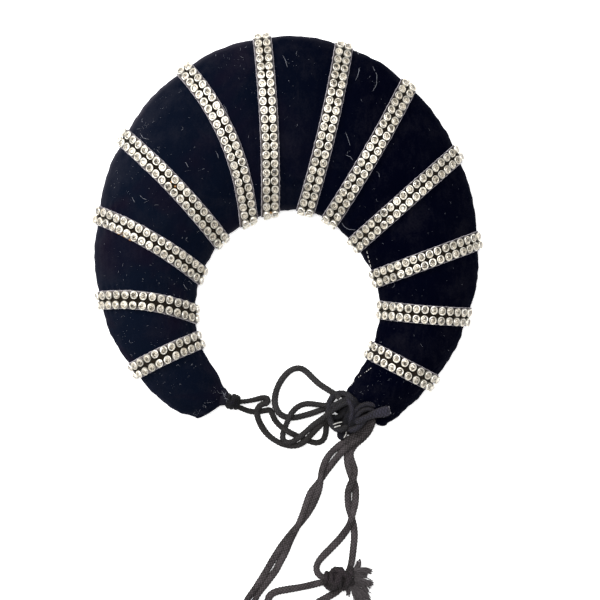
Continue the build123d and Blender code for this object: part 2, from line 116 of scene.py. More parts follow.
# Route of each cord, moved where the photograph asks for it: column and row in the photograph, height and
# width in millimetres. The cord is a soft tube that lies flat and wide in places.
CORDS = {
    "tie_cord_upper": [
        (235.0, 402.2, 3.6, 2.0), (244.0, 402.0, 2.2, 1.9), (254.0, 400.2, 1.4, 2.0),
        (262.0, 398.0, 1.3, 2.3), (267.6, 398.6, 1.6, 2.4), (267.6, 403.4, 3.0, 2.4),
        (261.8, 404.2, 3.4, 2.3), (257.0, 408.6, 3.5, 2.3), (256.8, 416.4, 2.4, 2.5),
        (261.2, 427.0, 1.1, 2.6), (268.0, 436.0, 1.1, 2.5), (277.0, 442.4, 1.1, 2.3),
        (286.0, 446.2, 1.1, 2.2), (295.5, 446.8, 1.2, 2.3), (303.0, 443.4, 3.2, 2.4),
        (309.5, 437.0, 3.4, 2.3), (316.0, 430.0, 3.4, 2.3), (323.1, 423.0, 3.6, 2.3),
        (330.0, 416.5, 3.8, 2.3),
    ],
    "tie_cord_lower": [
        (235.5, 406.0, 3.0, 2.0), (241.5, 408.8, 1.7, 2.1), (249.0, 411.8, 1.2, 2.2),
        (257.0, 412.4, 1.1, 2.3), (265.0, 411.0, 1.1, 2.3), (270.0, 410.0, 1.1, 2.3),
        (272.0, 414.0, 1.1, 2.3), (274.5, 420.5, 1.1, 2.3), (280.5, 427.0, 1.9, 2.3),
        (288.0, 432.0, 3.4, 2.3), (296.0, 436.0, 2.6, 2.3), (303.0, 438.8, 1.4, 2.3),
        (310.0, 442.2, 1.1, 2.2), (317.5, 443.8, 1.1, 2.3), (323.6, 440.8, 1.1, 2.4),
        (326.0, 434.0, 1.5, 2.4), (326.2, 426.0, 2.2, 2.3), (329.0, 418.0, 2.6, 2.3),
    ],
    "bow_loop_large": [
        (340.0, 398.0, 5.6, 2.4), (333.8, 393.2, 5.4, 2.4), (327.0, 389.2, 5.0, 2.4),
        (319.5, 384.6, 3.4, 2.4), (312.0, 377.6, 1.5, 2.5), (305.5, 370.8, 1.1, 2.4),
        (299.0, 367.8, 1.1, 2.4), (291.0, 369.8, 1.1, 2.5), (283.2, 377.2, 1.1, 2.6),
        (277.4, 387.0, 1.1, 2.6), (274.6, 397.0, 1.1, 2.6), (274.8, 406.5, 1.6, 2.6),
        (279.0, 414.2, 2.6, 2.5), (286.5, 418.0, 2.0, 2.4), (295.5, 418.2, 1.2, 2.4),
        (304.5, 415.8, 1.1, 2.5), (313.5, 413.2, 1.1, 2.5), (321.5, 410.2, 1.7, 2.4),
        (330.0, 406.5, 2.4, 2.4),
    ],
    "bow_loop_small": [
        (333.0, 405.0, 4.6, 2.2), (325.0, 405.8, 3.8, 2.2), (317.0, 404.8, 2.6, 2.2),
        (309.0, 403.8, 1.8, 2.3), (301.8, 404.8, 1.8, 2.3), (295.6, 408.6, 2.6, 2.3),
        (291.0, 413.8, 3.5, 2.3), (288.2, 420.0, 3.4, 2.2), (285.2, 427.4, 1.6, 2.2),
        (282.6, 434.0, 1.1, 2.3), (282.4, 440.2, 1.1, 2.3), (286.6, 443.4, 1.5, 2.2),
        (293.0, 442.2, 2.6, 2.2), (300.0, 437.0, 3.8, 2.3), (306.8, 431.4, 3.8, 2.3),
        (313.0, 425.4, 3.7, 2.3), (319.5, 421.0, 4.6, 2.3), (325.0, 417.0, 5.3, 2.3),
        (331.5, 411.0, 5.6, 2.3),
    ],
    "tail_cord_1": [
        (369.5, 420.0, 4.2, 2.6), (368.6, 425.6, 3.9, 2.8), (363.2, 431.8, 3.4, 3.0),
        (354.8, 436.4, 2.9, 3.0), (346.0, 441.6, 2.4, 3.0), (338.0, 447.2, 1.6, 2.9),
        (330.2, 454.0, 1.2, 2.6), (325.6, 461.4, 1.1, 2.8), (322.4, 469.0, 1.8, 2.7),
        (320.6, 477.0, 3.3, 2.5), (320.2, 484.0, 3.5, 2.7), (318.4, 492.0, 2.5, 3.0),
        (314.6, 502.0, 1.2, 3.0), (309.6, 511.6, 1.1, 2.7), (303.6, 520.4, 1.1, 2.5),
        (297.0, 527.6, 1.1, 2.7), (290.0, 535.6, 1.1, 2.8), (281.6, 546.6, 1.1, 2.9),
        (275.9, 555.8, 1.1, 3.0), (271.6, 562.6, 1.1, 3.0), (267.0, 570.6, 1.1, 2.7),
        (263.1, 577.6, 1.1, 3.0), (258.6, 584.4, 1.1, 2.9), (253.8, 591.6, 1.1, 2.6),
        (248.2, 598.8, 1.1, 2.6), (243.4, 608.0, 1.1, 2.8), (242.6, 620.0, 1.1, 2.8),
        (248.4, 631.6, 1.1, 2.7), (261.4, 638.4, 1.1, 2.6), (278.6, 637.0, 1.1, 2.6),
        (293.0, 628.5, 1.1, 2.7), (302.6, 616.4, 1.1, 2.9), (314.2, 605.6, 1.1, 3.0),
        (327.0, 598.6, 1.4, 3.0), (338.0, 592.2, 2.4, 3.0), (344.0, 584.4, 3.4, 2.6),
    ],
    "tail_cord_2": [
        (373.5, 419.0, 5.2, 2.6), (371.6, 426.4, 4.4, 2.8), (366.0, 434.4, 3.9, 2.8),
        (358.2, 440.6, 3.4, 2.7), (349.4, 445.6, 3.3, 2.9), (342.4, 452.0, 3.0, 2.8),
        (336.0, 459.4, 2.0, 2.8), (330.6, 466.6, 1.2, 2.8), (325.4, 473.6, 1.1, 2.6),
        (321.2, 480.0, 1.1, 2.5), (316.4, 486.0, 1.1, 2.7), (311.2, 492.4, 1.1, 3.0),
        (307.8, 501.0, 1.1, 3.0), (304.4, 511.0, 1.4, 2.9), (301.0, 519.4, 3.0, 2.7),
        (297.8, 526.4, 3.5, 2.6), (294.6, 532.6, 3.0, 2.7), (290.8, 540.0, 1.7, 2.9),
        (287.0, 548.6, 1.2, 3.0), (284.0, 555.7, 1.1, 3.0), (280.2, 562.4, 1.1, 3.0),
        (276.4, 570.6, 1.1, 2.7), (271.2, 577.4, 1.1, 3.0), (266.0, 584.6, 1.1, 2.9),
        (260.4, 591.6, 1.1, 2.6), (255.4, 599.0, 1.1, 2.5), (253.6, 608.5, 1.1, 2.6),
        (257.4, 617.6, 1.1, 2.6), (264.6, 619.0, 1.1, 2.7), (267.8, 611.6, 1.1, 2.8),
        (267.4, 603.4, 1.1, 3.0), (269.4, 596.4, 1.1, 3.0), (275.6, 592.8, 1.1, 3.0),
        (285.6, 590.8, 1.1, 3.0), (298.0, 589.0, 1.1, 3.0), (310.0, 586.4, 1.4, 3.0),
        (321.0, 583.4, 2.6, 2.7), (330.0, 581.6, 3.9, 2.4),
    ],
    "tail_cord_3": [
        (370.0, 421.0, 2.8, 2.5), (365.0, 430.0, 2.0, 2.6), (355.6, 439.6, 1.2, 2.6),
        (349.2, 447.2, 1.1, 2.4), (346.8, 455.0, 1.1, 2.4), (347.6, 463.0, 1.1, 2.8),
        (349.4, 471.4, 1.1, 2.9), (352.6, 479.6, 1.1, 2.8), (355.6, 488.0, 1.1, 3.0),
        (355.9, 496.4, 1.1, 3.0), (355.3, 504.6, 1.4, 3.0), (353.4, 512.0, 2.8, 2.7),
        (351.8, 518.0, 3.4, 2.7), (350.2, 524.4, 2.8, 2.8), (346.4, 531.4, 1.2, 3.0),
        (339.8, 540.0, 1.1, 3.1), (332.0, 548.2, 1.1, 3.1), (323.6, 556.4, 1.1, 3.0),
        (317.2, 564.0, 1.1, 2.7), (316.0, 571.4, 1.1, 2.6), (320.0, 577.6, 1.6, 2.7),
        (329.0, 580.6, 2.9, 2.5),
    ],
    "tail_cord_4": [
        (373.6, 421.0, 1.8, 2.5), (371.0, 430.0, 1.2, 2.6), (363.4, 439.0, 1.1, 2.6),
        (354.6, 446.0, 1.6, 2.4), (350.0, 454.6, 1.9, 2.4), (352.6, 463.2, 1.4, 2.7),
        (355.2, 470.8, 1.6, 2.8), (354.0, 478.0, 3.1, 2.7), (350.6, 484.6, 3.4, 2.8),
        (348.3, 491.6, 2.2, 3.0), (347.8, 499.6, 1.2, 3.0), (348.9, 508.4, 1.1, 3.0),
        (351.4, 516.8, 1.1, 2.8), (353.8, 525.6, 1.1, 2.8), (354.8, 534.6, 1.1, 2.8),
        (354.2, 543.6, 1.1, 2.8), (353.2, 552.4, 1.1, 2.8), (352.2, 560.6, 1.5, 2.8),
        (350.6, 568.0, 2.6, 2.7), (347.0, 576.0, 3.4, 2.4),
    ],
}

# Left knot: the column and row of each wrap's middle, its radius and how far it leans
LEFT_WRAPS = [
    (228.6, 401.3, 2.15, 0.9),
    (232.4, 401.9, 2.35, 0.6),
    (236.0, 402.6, 2.15, -0.7),
]
# Route of the strand that lies slanting over the left knot: column, row and height
LEFT_SLANT = [
    (226.0, 404.5, 3.2), (228.5, 405.5, 5.6), (231.5, 403.0, 6.9), (234.5, 399.5, 6.6),
    (237.5, 398.0, 5.0), (239.0, 399.0, 3.0),
]

# Ring of the main knot: its middle in the photograph, its radii across and down it in pixels, and the
# height of each of its two turns
RING_MIDDLE = (339.8, 412.0, 0.0)
RING_HALF = (12.2, 18.4)
RING_LEVELS = (1.25, 3.3)

# Main knot: width of each strand, which cord colour it has, and its route. The turn that
# lies on top of the ring comes first, then the strands slung through and over it.
# The 'knot' strands lie deep in the knot and take the near-black knot colour, a painted shade
MAIN_KNOT_STRANDS = [
    (2.5, "ring", [
        (354.6, 404.5, 6.5), (352.0, 398.2, 6.2), (346.2, 394.0, 6.0), (340.0, 393.0, 5.6),
        (334.0, 395.2, 5.4), (330.2, 400.4, 5.3), (328.6, 407.0, 5.2), (328.8, 414.0, 5.2),
        (330.2, 421.2, 5.2), (333.4, 427.0, 5.2), (338.4, 430.0, 5.4), (344.0, 429.4, 5.6),
        (348.0, 425.6, 6.0),
    ]),
    (2.2, "ring", [
        (327.5, 408, 4), (331, 406.5, 5.3), (337, 404, 6.2), (343, 401, 6.4), (348, 398.5, 5.8),
        (352, 400, 4.5),
    ]),
    (2.2, "ring", [
        (328, 414, 4.2), (332, 411, 5.6), (338, 407, 6.6), (344, 403.5, 7), (350, 402.5, 6.8),
        (355, 404, 5.5),
    ]),
    (2.2, "knot", [(338, 419, 3.2), (342, 413.5, 4.8), (347, 408.5, 5.6), (351, 405.5, 5.4)]),
    (2.2, "knot", [(331, 417, 3.0), (335.5, 418.0, 3.8), (341, 416.5, 4.8), (346, 412, 6.2)]),
    (3.2, "knot", [
        (345, 430, 3), (346.2, 422, 6.2), (350, 413.6, 7.6), (354.4, 405.8, 7.8), (357, 398.6, 5.8),
    ]),
    (2.0, "soiled", [
        (349, 428, 4), (350.4, 419, 7.4), (352.6, 411, 8.6), (350.8, 403.6, 8.0), (346.6, 398.2, 6.6),
    ]),
    (3.0, "knot", [
        (350, 431, 3), (352.6, 423.4, 6.8), (356.4, 415.4, 7.9), (359, 408.6, 7.6), (361, 402.6, 6),
    ]),
    (1.9, "soiled", [
        (354.0, 413, 7.0), (357.6, 408.4, 9.2), (362.4, 404.8, 10.2), (368.4, 403.6, 10.2),
        (374.0, 405.0, 9.4), (378.4, 409, 7.0),
    ]),
    (1.7, "soiled", [
        (356, 417.4, 7.0), (359.8, 412.2, 9.8), (364.2, 409.2, 10.6), (369.4, 408.6, 10.4),
        (374, 410.4, 9.0),
    ]),
    (2.4, "knot", [(355.4, 410, 6.0), (361, 407.4, 8.8), (368.0, 406.4, 9.0), (374.6, 408.4, 7.6)]),
    (2.4, "soiled", [
        (345, 428, 4.0), (351, 430.6, 6.0), (357.4, 428.2, 7.0), (362.6, 422.6, 7.6), (366, 417, 7.0),
    ]),
    (2.3, "knot", [
        (341.0, 430.0, 2.5), (339.4, 434.5, 3.2), (341.0, 438.4, 3.0), (344.2, 437.0, 3.2),
        (345.0, 431.0, 2.6),
    ]),
]

# Lumps inside the main knot, where strands hide each other, drawn near black as painted shade: the place, and
# half the size along x, y, z
MAIN_KNOT_LUMPS = [
    ((363.0, 416.0, 4.5), (4.4, 2.9, 3.6)),
    ((345.5, 413.0, 2.9), (2.4, 4.6, 2.4)),
    ((355.0, 413.5, 4.2), (2.8, 4.2, 3.4)),
    ((344.0, 407.0, 2.2), (2.2, 2.2, 1.6)),
    ((341.0, 421.0, 1.6), (3.1, 2.7, 1.3)),
    ((332.4, 407.0, 2.2), (1.3, 2.0, 1.4)),
    ((350.0, 424.0, 3.2), (3.0, 2.6, 2.6)),
    ((350.0, 432.5, 1.8), (2.6, 1.2, 1.6)),
    ((341.0, 411.5, 1.4), (2.6, 1.3, 1.1)),
]

# Route of the cut end of the braid over the main knot: column, row and height
CUT_END_ROUTE = [
    (356, 422, 7.4), (361, 419.5, 9.3), (368, 416.4, 10.6), (376, 413.6, 11.3), (383, 411.6, 11.5),
    (389.4, 409.8, 11.4),
]

# End knot: x, radius, lean and first angle of each wrap, then width and route of the strands over them
END_WRAPS = [
    (17.4, 2.35, 1.9, 0.4),
    (19.8, 2.80, -2.3, 2.0),
    (22.6, 2.60, 2.0, 3.6),
]
END_STRANDS = [
    (2.9, [
        (325.5, 583.0, 2.4), (328.5, 588.0, 4.4), (334.0, 587.8, 6.4), (338.4, 581.0, 7.5),
        (340.4, 573.6, 6.6), (341.0, 568.6, 3.6),
    ]),
    (2.6, [
        (331.0, 576.0, 3.0), (333.6, 570.2, 5.2), (338.6, 569.8, 6.8), (345.4, 574.4, 7.2),
        (350.4, 580.6, 5.6), (352.6, 586.4, 3.0),
    ]),
    (2.5, [
        (343.0, 590.6, 2.4), (346.2, 585.6, 5.4), (349.4, 579.0, 6.6), (351.0, 572.6, 5.6),
        (350.4, 567.4, 3.2),
    ]),
]

# Place along y and height of the middle of the end knot's wraps
END_KNOT_Y = -148.0
END_KNOT_HEIGHT = 3.75
# Lumps inside the end knot: place, half the size along x, y and z, and roughness
END_LUMPS = [
    ((20.6, -148.0, 3.6), (5.0, 2.9, 3.0), 0.20),
    ((24.6, -148.4, 3.2), (2.4, 2.7, 2.3), 0.22),
]

# Tassel: root, middle and tip of each lock in the photograph, its plies and their spread at the tip
TASSEL_LOCKS = [
    ([(353.0, 571.5, 3.4), (357.8, 568.0, 2.6), (360.6, 560.5, 1.6)], 22, 0.34),
    ([(351.0, 572.5, 3.6), (362.0, 571.5, 2.9), (372.0, 573.0, 1.5)], 60, 0.60),
    ([(352.0, 575.0, 3.4), (361.0, 576.0, 2.6), (367.5, 577.0, 1.3)], 34, 0.50),
    ([(353.0, 579.5, 3.2), (364.5, 582.0, 2.6), (372.8, 587.0, 1.3)], 70, 0.80),
    ([(354.0, 581.5, 3.0), (362.5, 586.5, 2.0), (368.0, 593.5, 1.1)], 40, 0.60),
    ([(350.5, 582.5, 3.2), (358.5, 591.5, 2.4), (367.5, 605.5, 1.2)], 90, 1.35),
    ([(350.5, 584.0, 3.0), (354.5, 593.0, 2.2), (361.0, 609.0, 1.2)], 44, 0.90),
    ([(347.5, 584.5, 3.0), (348.6, 591.0, 2.0), (348.4, 598.5, 1.1)], 22, 0.34),
]

# Longer threads on the velvet, by their columns and rows in the photograph
LONG_THREADS = [
    [(342, 222, 0), (344.5, 226, 0), (349, 229, 0), (356, 229.5, 0)],
    [(283, 57, 0), (285.5, 62, 0), (287.5, 69, 0)],
    [(355, 82, 0), (357, 78, 0), (359.5, 69, 0)],
    [(372, 67, 0), (376.5, 76, 0), (376, 86, 0), (372, 93, 0)],
    [(355, 50, 0), (356.5, 52, 0), (358.5, 55.5, 0)],
    [(345, 133, 0), (347.5, 139, 0), (350, 147, 0)],
    [(376, 172, 0), (378.5, 174, 0), (379, 178, 0)],
    [(345, 155.5, 0), (350, 157.5, 0), (353, 161, 0)],
    [(224, 106, 0), (227, 111, 0), (228.5, 117, 0)],
    [(216, 152, 0), (218, 155, 0), (219, 159, 0)],
    [(141, 134, 0), (144, 139, 0), (150, 140.5, 0)],
    [(141, 196, 0), (144, 199, 0), (148, 200.5, 0)],
    [(133.5, 198, 0), (134.5, 200.5, 0), (136, 203, 0)],
    [(186, 163, 0), (187.5, 165, 0), (189, 168, 0)],
    [(164, 185, 0), (165.5, 187.5, 0), (166, 190, 0)],
    [(183, 284, 0), (184.5, 287, 0), (187, 290, 0)],
]

# Where lint has gathered: column and row in the photograph, reach in pixels and count of specks
LINT_PATCHES = [
    (146, 130, 9, 70), (166, 100, 10, 50), (241, 70, 10, 60), (227, 55, 10, 40), (120, 188, 12, 50),
    (198, 167, 9, 40), (160, 152, 6, 25), (250, 98, 9, 30), (155, 195, 14, 40), (170, 280, 12, 25),
    (305, 66, 16, 60), (372, 72, 14, 60), (376, 90, 9, 30), (443, 128, 10, 25), (463, 190, 9, 22),
    (430, 227, 13, 20), (160, 235, 14, 20), (120, 250, 10, 16), (205, 380, 12, 14),
]

# Rows of white stitches: start, end, count and height over the velvet
STITCH_ROWS = [
    ((367.0, 250.0), (371.6, 268.0), 4, 0.25),
    ((349.5, 389.0), (355.0, 381.5), 4, 0.2),
    ((356.5, 380.0), (372.0, 368.0), 8, 0.2),
]

# Threads in and near the knots: the width and the route of each
KNOT_THREADS = [
    (0.50, [(332.8, 424.8, 6.3), (337.0, 423.0, 6.7), (342.4, 422.0, 6.4)]),
    (0.50, [(334.0, 427.6, 6.3), (337.0, 426.4, 6.7), (340.8, 425.6, 6.5)]),
    (0.45, [(343.6, 438.4, 4.0), (346.4, 435.6, 4.3), (346.4, 431.5, 4.2)]),
]

# Fibres on the gathered cloth at the left tip, by column, row and height
STUMP_FIBRES = [
    [(221.6, 390.6, 7.3), (223.6, 393.8, 7.3), (226.4, 396.0, 7.1)],
    [(223.2, 396.4, 7.3), (225.2, 394.0, 7.2), (226.2, 391.8, 6.8)],
    [(224.0, 398.4, 7.3), (226.6, 398.6, 7.1), (228.6, 400.4, 6.9)],
    [(222.6, 393.6, 7.3), (225.4, 397.8, 7.2), (227.0, 402.6, 6.8)],
]

# Drops of glue: column, row, half width, half depth and height over the velvet
GLUE_DROPS = [
    (118.8, 232.2, 0.9, 0.5, 0.62),
    (121.6, 233.6, 1.3, 0.6, 0.66),
    (126.4, 236.6, 0.9, 0.4, 0.60),
    (132.4, 240.2, 0.9, 0.5, 0.60),
    (269.0, 212.0, 1.0, 0.55, 0.9),
    (273.5, 212.4, 1.2, 0.6, 0.9),
    (172.5, 182.8, 0.55, 0.45, 0.95),
    (176.0, 187.0, 0.45, 0.4, 0.95),
]

# The camera looks straight down on the ring through a long lens
CAMERA_PLACE = (0.0057, -0.03046, 1.608)
LENS = 228.6
WORLD_STRENGTH = 0.54
# Name, place, aim, size and power of the soft studio lights, in metres and watts
SOFT_LIGHTS = [
    ("window_side", (-1.0, 0.75, 0.80), (0.0, -0.03, 0.0), 0.7, 16.0),
    ("fill_side", (0.9, -0.6, 1.3), (0.0, -0.03, 0.0), 0.9, 3.0),
    ("overhead", (-0.25, 0.35, 1.7), (0.0, -0.03, 0.0), 0.9, 22.0),
]

# The paper under the ring: half its side, and how far it lies under the ring's back
FLOOR_HALF = 900
FLOOR_DROP = 0.3


def shade(hex_code):
    """Linear colour of an sRGB hex code."""
    parts = [int(hex_code[i:i + 2], 16) / 255 for i in (1, 3, 5)]
    return [p / 12.92 if p <= 0.04045 else ((p + 0.055) / 1.055) ** 2.4 for p in parts] + [1.0]


def add_node(tree, kind, inputs=None, **settings):
    """Adds a node. An input is a value or another node's output socket, by socket name or number."""
    node = tree.nodes.new(kind)
    for name, value in settings.items():
        setattr(node, name, value)
    for name, value in (inputs or {}).items():
        if isinstance(value, bpy.types.NodeSocket):
            tree.links.new(value, node.inputs[name])
        else:
            node.inputs[name].default_value = value
    return node


# Materials made so far, by name, so that like pieces share them
MATERIALS = {}


def new_material(name):
    """Empty node material with its output and its shader, which are returned with the tree."""
    material = bpy.data.materials.new(name)
    material.use_nodes = True
    tree = material.node_tree
    tree.nodes.clear()
    shader = add_node(tree, "ShaderNodeBsdfPrincipled")
    add_node(tree, "ShaderNodeOutputMaterial", {"Surface": shader.outputs[0]})
    MATERIALS[name] = material
    return material, tree, shader


def ramp(tree, factor, stops):
    """Colour ramp over a factor, from (position, hex code) stops."""
    node = add_node(tree, "ShaderNodeValToRGB", {0: factor})
    elements = node.color_ramp.elements
    while len(elements) < len(stops):
        elements.new(0.5)
    for element, (position, code) in zip(elements, stops):
        element.position = position
        element.color = shade(code)
    return node.outputs[0]


def bump(tree, shader, height, distance, strength=1.0):
    """Bump of a given depth in millimetres."""
    node = add_node(
        tree, "ShaderNodeBump", {"Height": height, "Distance": distance * MM, "Strength": strength}
    )
    tree.links.new(node.outputs[0], shader.inputs["Normal"])


def set_inputs(shader, **values):
    """Sets plain values on the shader's own sockets, with underscores for spaces in their names."""
    for name, value in values.items():
        shader.inputs[name.replace("_", " ")].default_value = value


def mesh_object(name, points, faces, materials, uv=None, smooth=True, indices=None):
    """Object at the origin from points in millimetres and an array of quads or triangles. A UV map
    whose first value runs from 0 to 1 round a tube is carried on past 1 in the faces that close it."""
    mesh = bpy.data.meshes.new(name)
    points = np.asarray(points, dtype=float).reshape(-1, 3) * MM
    faces = np.asarray(faces, dtype=np.int32)
    sides = faces.shape[1]
    mesh.vertices.add(len(points))
    mesh.vertices.foreach_set("co", points.ravel())
    mesh.loops.add(faces.size)
    mesh.loops.foreach_set("vertex_index", faces.ravel())
    mesh.polygons.add(len(faces))
    mesh.polygons.foreach_set("loop_start", np.arange(0, faces.size, sides, dtype=np.int32))
    if uv is not None:
        corners = np.asarray(uv, dtype=float)[faces]
        share = corners[..., 0]
        if share.min() >= 0 and share.max() < 1:
            share += share.max(axis=1, keepdims=True) - share > 0.5
        layer = mesh.uv_layers.new(name="surface")
        layer.data.foreach_set("uv", corners.ravel())
    mesh.polygons.foreach_set("use_smooth", np.full(len(faces), smooth))
    for material in materials:
        mesh.materials.append(material)
    if indices is not None:
        mesh.polygons.foreach_set("material_index", np.asarray(indices, dtype=np.int32))
    mesh.update(calc_edges=True)
    mesh.validate()
    piece = bpy.data.objects.new(name, mesh)
    bpy.context.scene.collection.objects.link(piece)
    return piece


def grid_faces(rows, columns, close_rows=False, close_columns=False):
    """Quads of a grid of points whose index is row times columns plus column."""
    i = np.arange(rows if close_rows else rows - 1)
    j = np.arange(columns if close_columns else columns - 1)
    a, b = np.meshgrid(i, j, indexing="ij")
    c, d = (a + 1) % rows, (b + 1) % columns
    quads = [a * columns + b, c * columns + b, c * columns + d, a * columns + d]
    return np.stack(quads, axis=-1).reshape(-1, 4)


def unit(vectors):
    """Vectors divided by their lengths."""
    return vectors / np.maximum(np.linalg.norm(vectors, axis=-1, keepdims=True), 1e-9)


def run_along(line):
    """Distance of every point of a line from its first point, on the line."""
    return np.concatenate([[0], np.cumsum(np.linalg.norm(np.diff(line, axis=0), axis=1))])


def eased(values):
    """Smooth step: 0 up to 0, 1 from 1, and 3x squared minus 2x cubed between."""
    x = np.clip(values, 0, 1)
    return x * x * (3 - 2 * x)


def blended_rows(rows, at):
    """Rows of a table read at fractional row numbers, along the cubic through four neighbours."""
    k = np.clip(np.floor(at).astype(int), 0, len(rows) - 2)
    x = (at - k)[:, None]
    before, here = rows[np.maximum(k - 1, 0)], rows[k]
    there, after = rows[k + 1], rows[np.minimum(k + 2, len(rows) - 1)]
    first = (there - before) / 2
    last = (after - here) / 2
    gap = there - here
    return here + x * (first + x * (3 * gap - 2 * first - last + x * (first + last - 2 * gap)))


def waves(points, length, seed, count=7):
    """Soft unevenness between -1 and 1: a sum of plane sine waves about one wavelength long, whose
    directions and phases come from the seed."""
    draw = np.random.default_rng(seed)
    total = np.zeros(points.shape[:-1])
    for _ in range(count):
        direction = unit(draw.normal(size=3))
        stretch = draw.uniform(0.7, 1.4)
        total += np.sin(points @ direction * (2 * np.pi / length * stretch) + draw.uniform(0, 6.28))
    return total / count ** 0.5 / 1.4


def on_floor(angle, radius):
    """Plan points at angles in degrees and radii from the ring's centre."""
    turn = np.radians(angle)
    return CENTRE + np.stack([np.cos(turn), np.sin(turn)], axis=-1) * np.asarray(radius)[..., None]


FRONT_POINTS = 46
RIM_POINTS = 22
BACK_POINTS = 26
FRONT_COLUMNS = 2 * FRONT_POINTS + 2 * RIM_POINTS
STATION_STEPS = 24


def crescent_surface():
    """The crescent as a grid over the section number and the way round the section. Each section is
    the rim's arc, two front arcs that meet level at the crest, the other rim's arc and the flat
    back, as the part's source has it. Returns the points, the outward directions and the share of
    the way across the front, all with one row for each section and one column for each point."""
    at = np.linspace(0, len(SECTIONS) - 1, (len(SECTIONS) - 1) * STATION_STEPS + 1)
    row = blended_rows(SECTIONS, at)
    inner_radius = row[:, 2] * HOLE_RADIUS
    inner = on_floor(row[:, 0], inner_radius)
    outer = on_floor(row[:, 1], inner_radius + row[:, 3] * BODY_WIDTH)
    width = np.linalg.norm(outer - inner, axis=1)[:, None]
    across = unit(outer - inner)
    height = row[:, 4:5] * BODY_HEIGHT
    rim = row[:, 4:5] * RIM_RADIUS
    crest = CREST_SHARE * width
    rise = height - rim

    def front(reach):
        radius = (reach**2 + rise**2 - rim**2) / (2 * (rise - rim))
        return radius, np.arctan2(rim - height + radius, reach)

    outer_front, outer_meet = front(width - rim - crest)
    inner_front, inner_meet = front(crest - rim)
    pieces = []

    def arc(along, up, radius, start, end, count):
        share = np.linspace(0, 1, count, endpoint=False)[None, :]
        angle = start + (end - start) * share
        along_at = along + radius * np.cos(angle)
        up_at = up + radius * np.sin(angle)
        pieces.append((along_at, up_at, np.cos(angle), np.sin(angle)))

    half = np.pi / 2
    arc(rim, rim, rim, 3 * half + 0 * rim, np.pi - inner_meet, RIM_POINTS)
    arc(crest, height - inner_front, inner_front, np.pi - inner_meet, half + 0 * rim, FRONT_POINTS)
    arc(crest, height - outer_front, outer_front, half + 0 * rim, outer_meet, FRONT_POINTS)
    arc(width - rim, rim, rim, outer_meet, -half + 0 * rim, RIM_POINTS)
    share = np.linspace(0, 1, BACK_POINTS, endpoint=False)[None, :]
    back = (width - rim) + (2 * rim - width) * share
    pieces.append((back, 0 * back, 0 * back, 0 * back - 1))
    along, up, out_along, out_up = (np.concatenate([p[k] for p in pieces], axis=1) for k in range(4))
    plan = inner[:, None, :] + across[:, None, :] * along[..., None]
    points = np.concatenate([plan, up[..., None]], axis=2)
    outward = np.concatenate([across[:, None, :] * out_along[..., None], out_up[..., None]], axis=2)
    return points, outward, along / width


SURFACE, OUTWARD, ACROSS = crescent_surface()


def band_offset(band, plan):
    """How far plan points lie to the left of a band's middle line, on its way in from the outer rim.
    The line is straight, or an arc that bows by a share of its length."""
    outer_deg, inner_deg, bow = band[:3]
    ends = []
    for column, angle in ((1, outer_deg), (0, inner_deg)):
        angles = SECTIONS[::-1, column]
        radii = SECTIONS[::-1, 2] * HOLE_RADIUS
        if column:
            radii = radii + SECTIONS[::-1, 3] * BODY_WIDTH
        reach = (CAD_TAPE_TOP + RIM_RADIUS / 2) * (1 if column else -1)
        ends.append(on_floor(angle, np.interp(angle, angles, radii) + reach))
    start, end = ends
    length = np.linalg.norm(end - start)
    forward = (end - start) / length
    left = np.array([-forward[1], forward[0]])
    if bow == 0:
        return (plan - start) @ left
    rise = bow * length
    radius = (length**2 / 4 + rise**2) / (2 * rise)
    middle = (start + end) / 2 + left * (rise - radius)
    return np.linalg.norm(plan - middle, axis=-1) - radius


def band_window(band):
    """First and last row of the surface that a band can lie on."""
    low = min(band[0], band[1]) - 16
    high = max(band[0], band[1]) + 16
    at = np.arange(len(SURFACE)) / STATION_STEPS
    angle = blended_rows(SECTIONS, at)[:, :2].mean(axis=1)
    inside = np.flatnonzero((angle > low) & (angle < high))
    return inside[0], inside[-1] + 1


def lines_over(band, shifts):
    """Lines over the front at given shifts from a band's middle line. At every column of the surface
    the line lies where the offset passes the shift, between two rows. Returns points and outward
    directions, one row for each shift."""
    first, last = band_window(band)
    points = SURFACE[first:last, :FRONT_COLUMNS]
    outward = OUTWARD[first:last, :FRONT_COLUMNS]
    offset = band_offset(band, points[..., :2])
    if offset[0].mean() > offset[-1].mean():
        points, outward, offset = points[::-1], outward[::-1], offset[::-1]
    found = []
    for shift in shifts:
        k = np.clip((offset < shift).sum(axis=0), 1, len(offset) - 1)
        column = np.arange(FRONT_COLUMNS)
        low, high = offset[k - 1, column], offset[k, column]
        share = ((shift - low) / np.where(high == low, 1, high - low))[:, None]
        point = points[k - 1, column] * (1 - share) + points[k, column] * share
        away = outward[k - 1, column] * (1 - share) + outward[k, column] * share
        found.append((point[::-1], unit(away[::-1])))
    return np.array([f[0] for f in found]), np.array([f[1] for f in found])


def resampled(line, values, count=None, step=None, start=0.0, end=None):
    """Values read at even distances along a line."""
    run = run_along(line)
    end = run[-1] if end is None else end
    count = count or max(2, int(round((end - start) / step)) + 1)
    at = np.linspace(start, end, count)
    flat = values.reshape(len(values), -1)
    read = np.stack([np.interp(at, run, flat[:, k]) for k in range(flat.shape[1])], axis=1)
    return read.reshape((count,) + values.shape[1:]), at


def nearest_band(points):
    """Distance in plan from points of the whole surface to the nearest band's middle line, and the
    number of that band."""
    best = np.full(points.shape[:2], 99.0)
    which = np.zeros(points.shape[:2], dtype=int)
    for number, band in enumerate(BANDS):
        first, last = band_window(band)
        away = np.abs(band_offset(band, points[first:last, :, :2]))
        closer = away < best[first:last]
        best[first:last] = np.where(closer, away, best[first:last])
        which[first:last] = np.where(closer, number, which[first:last])
    return best, which


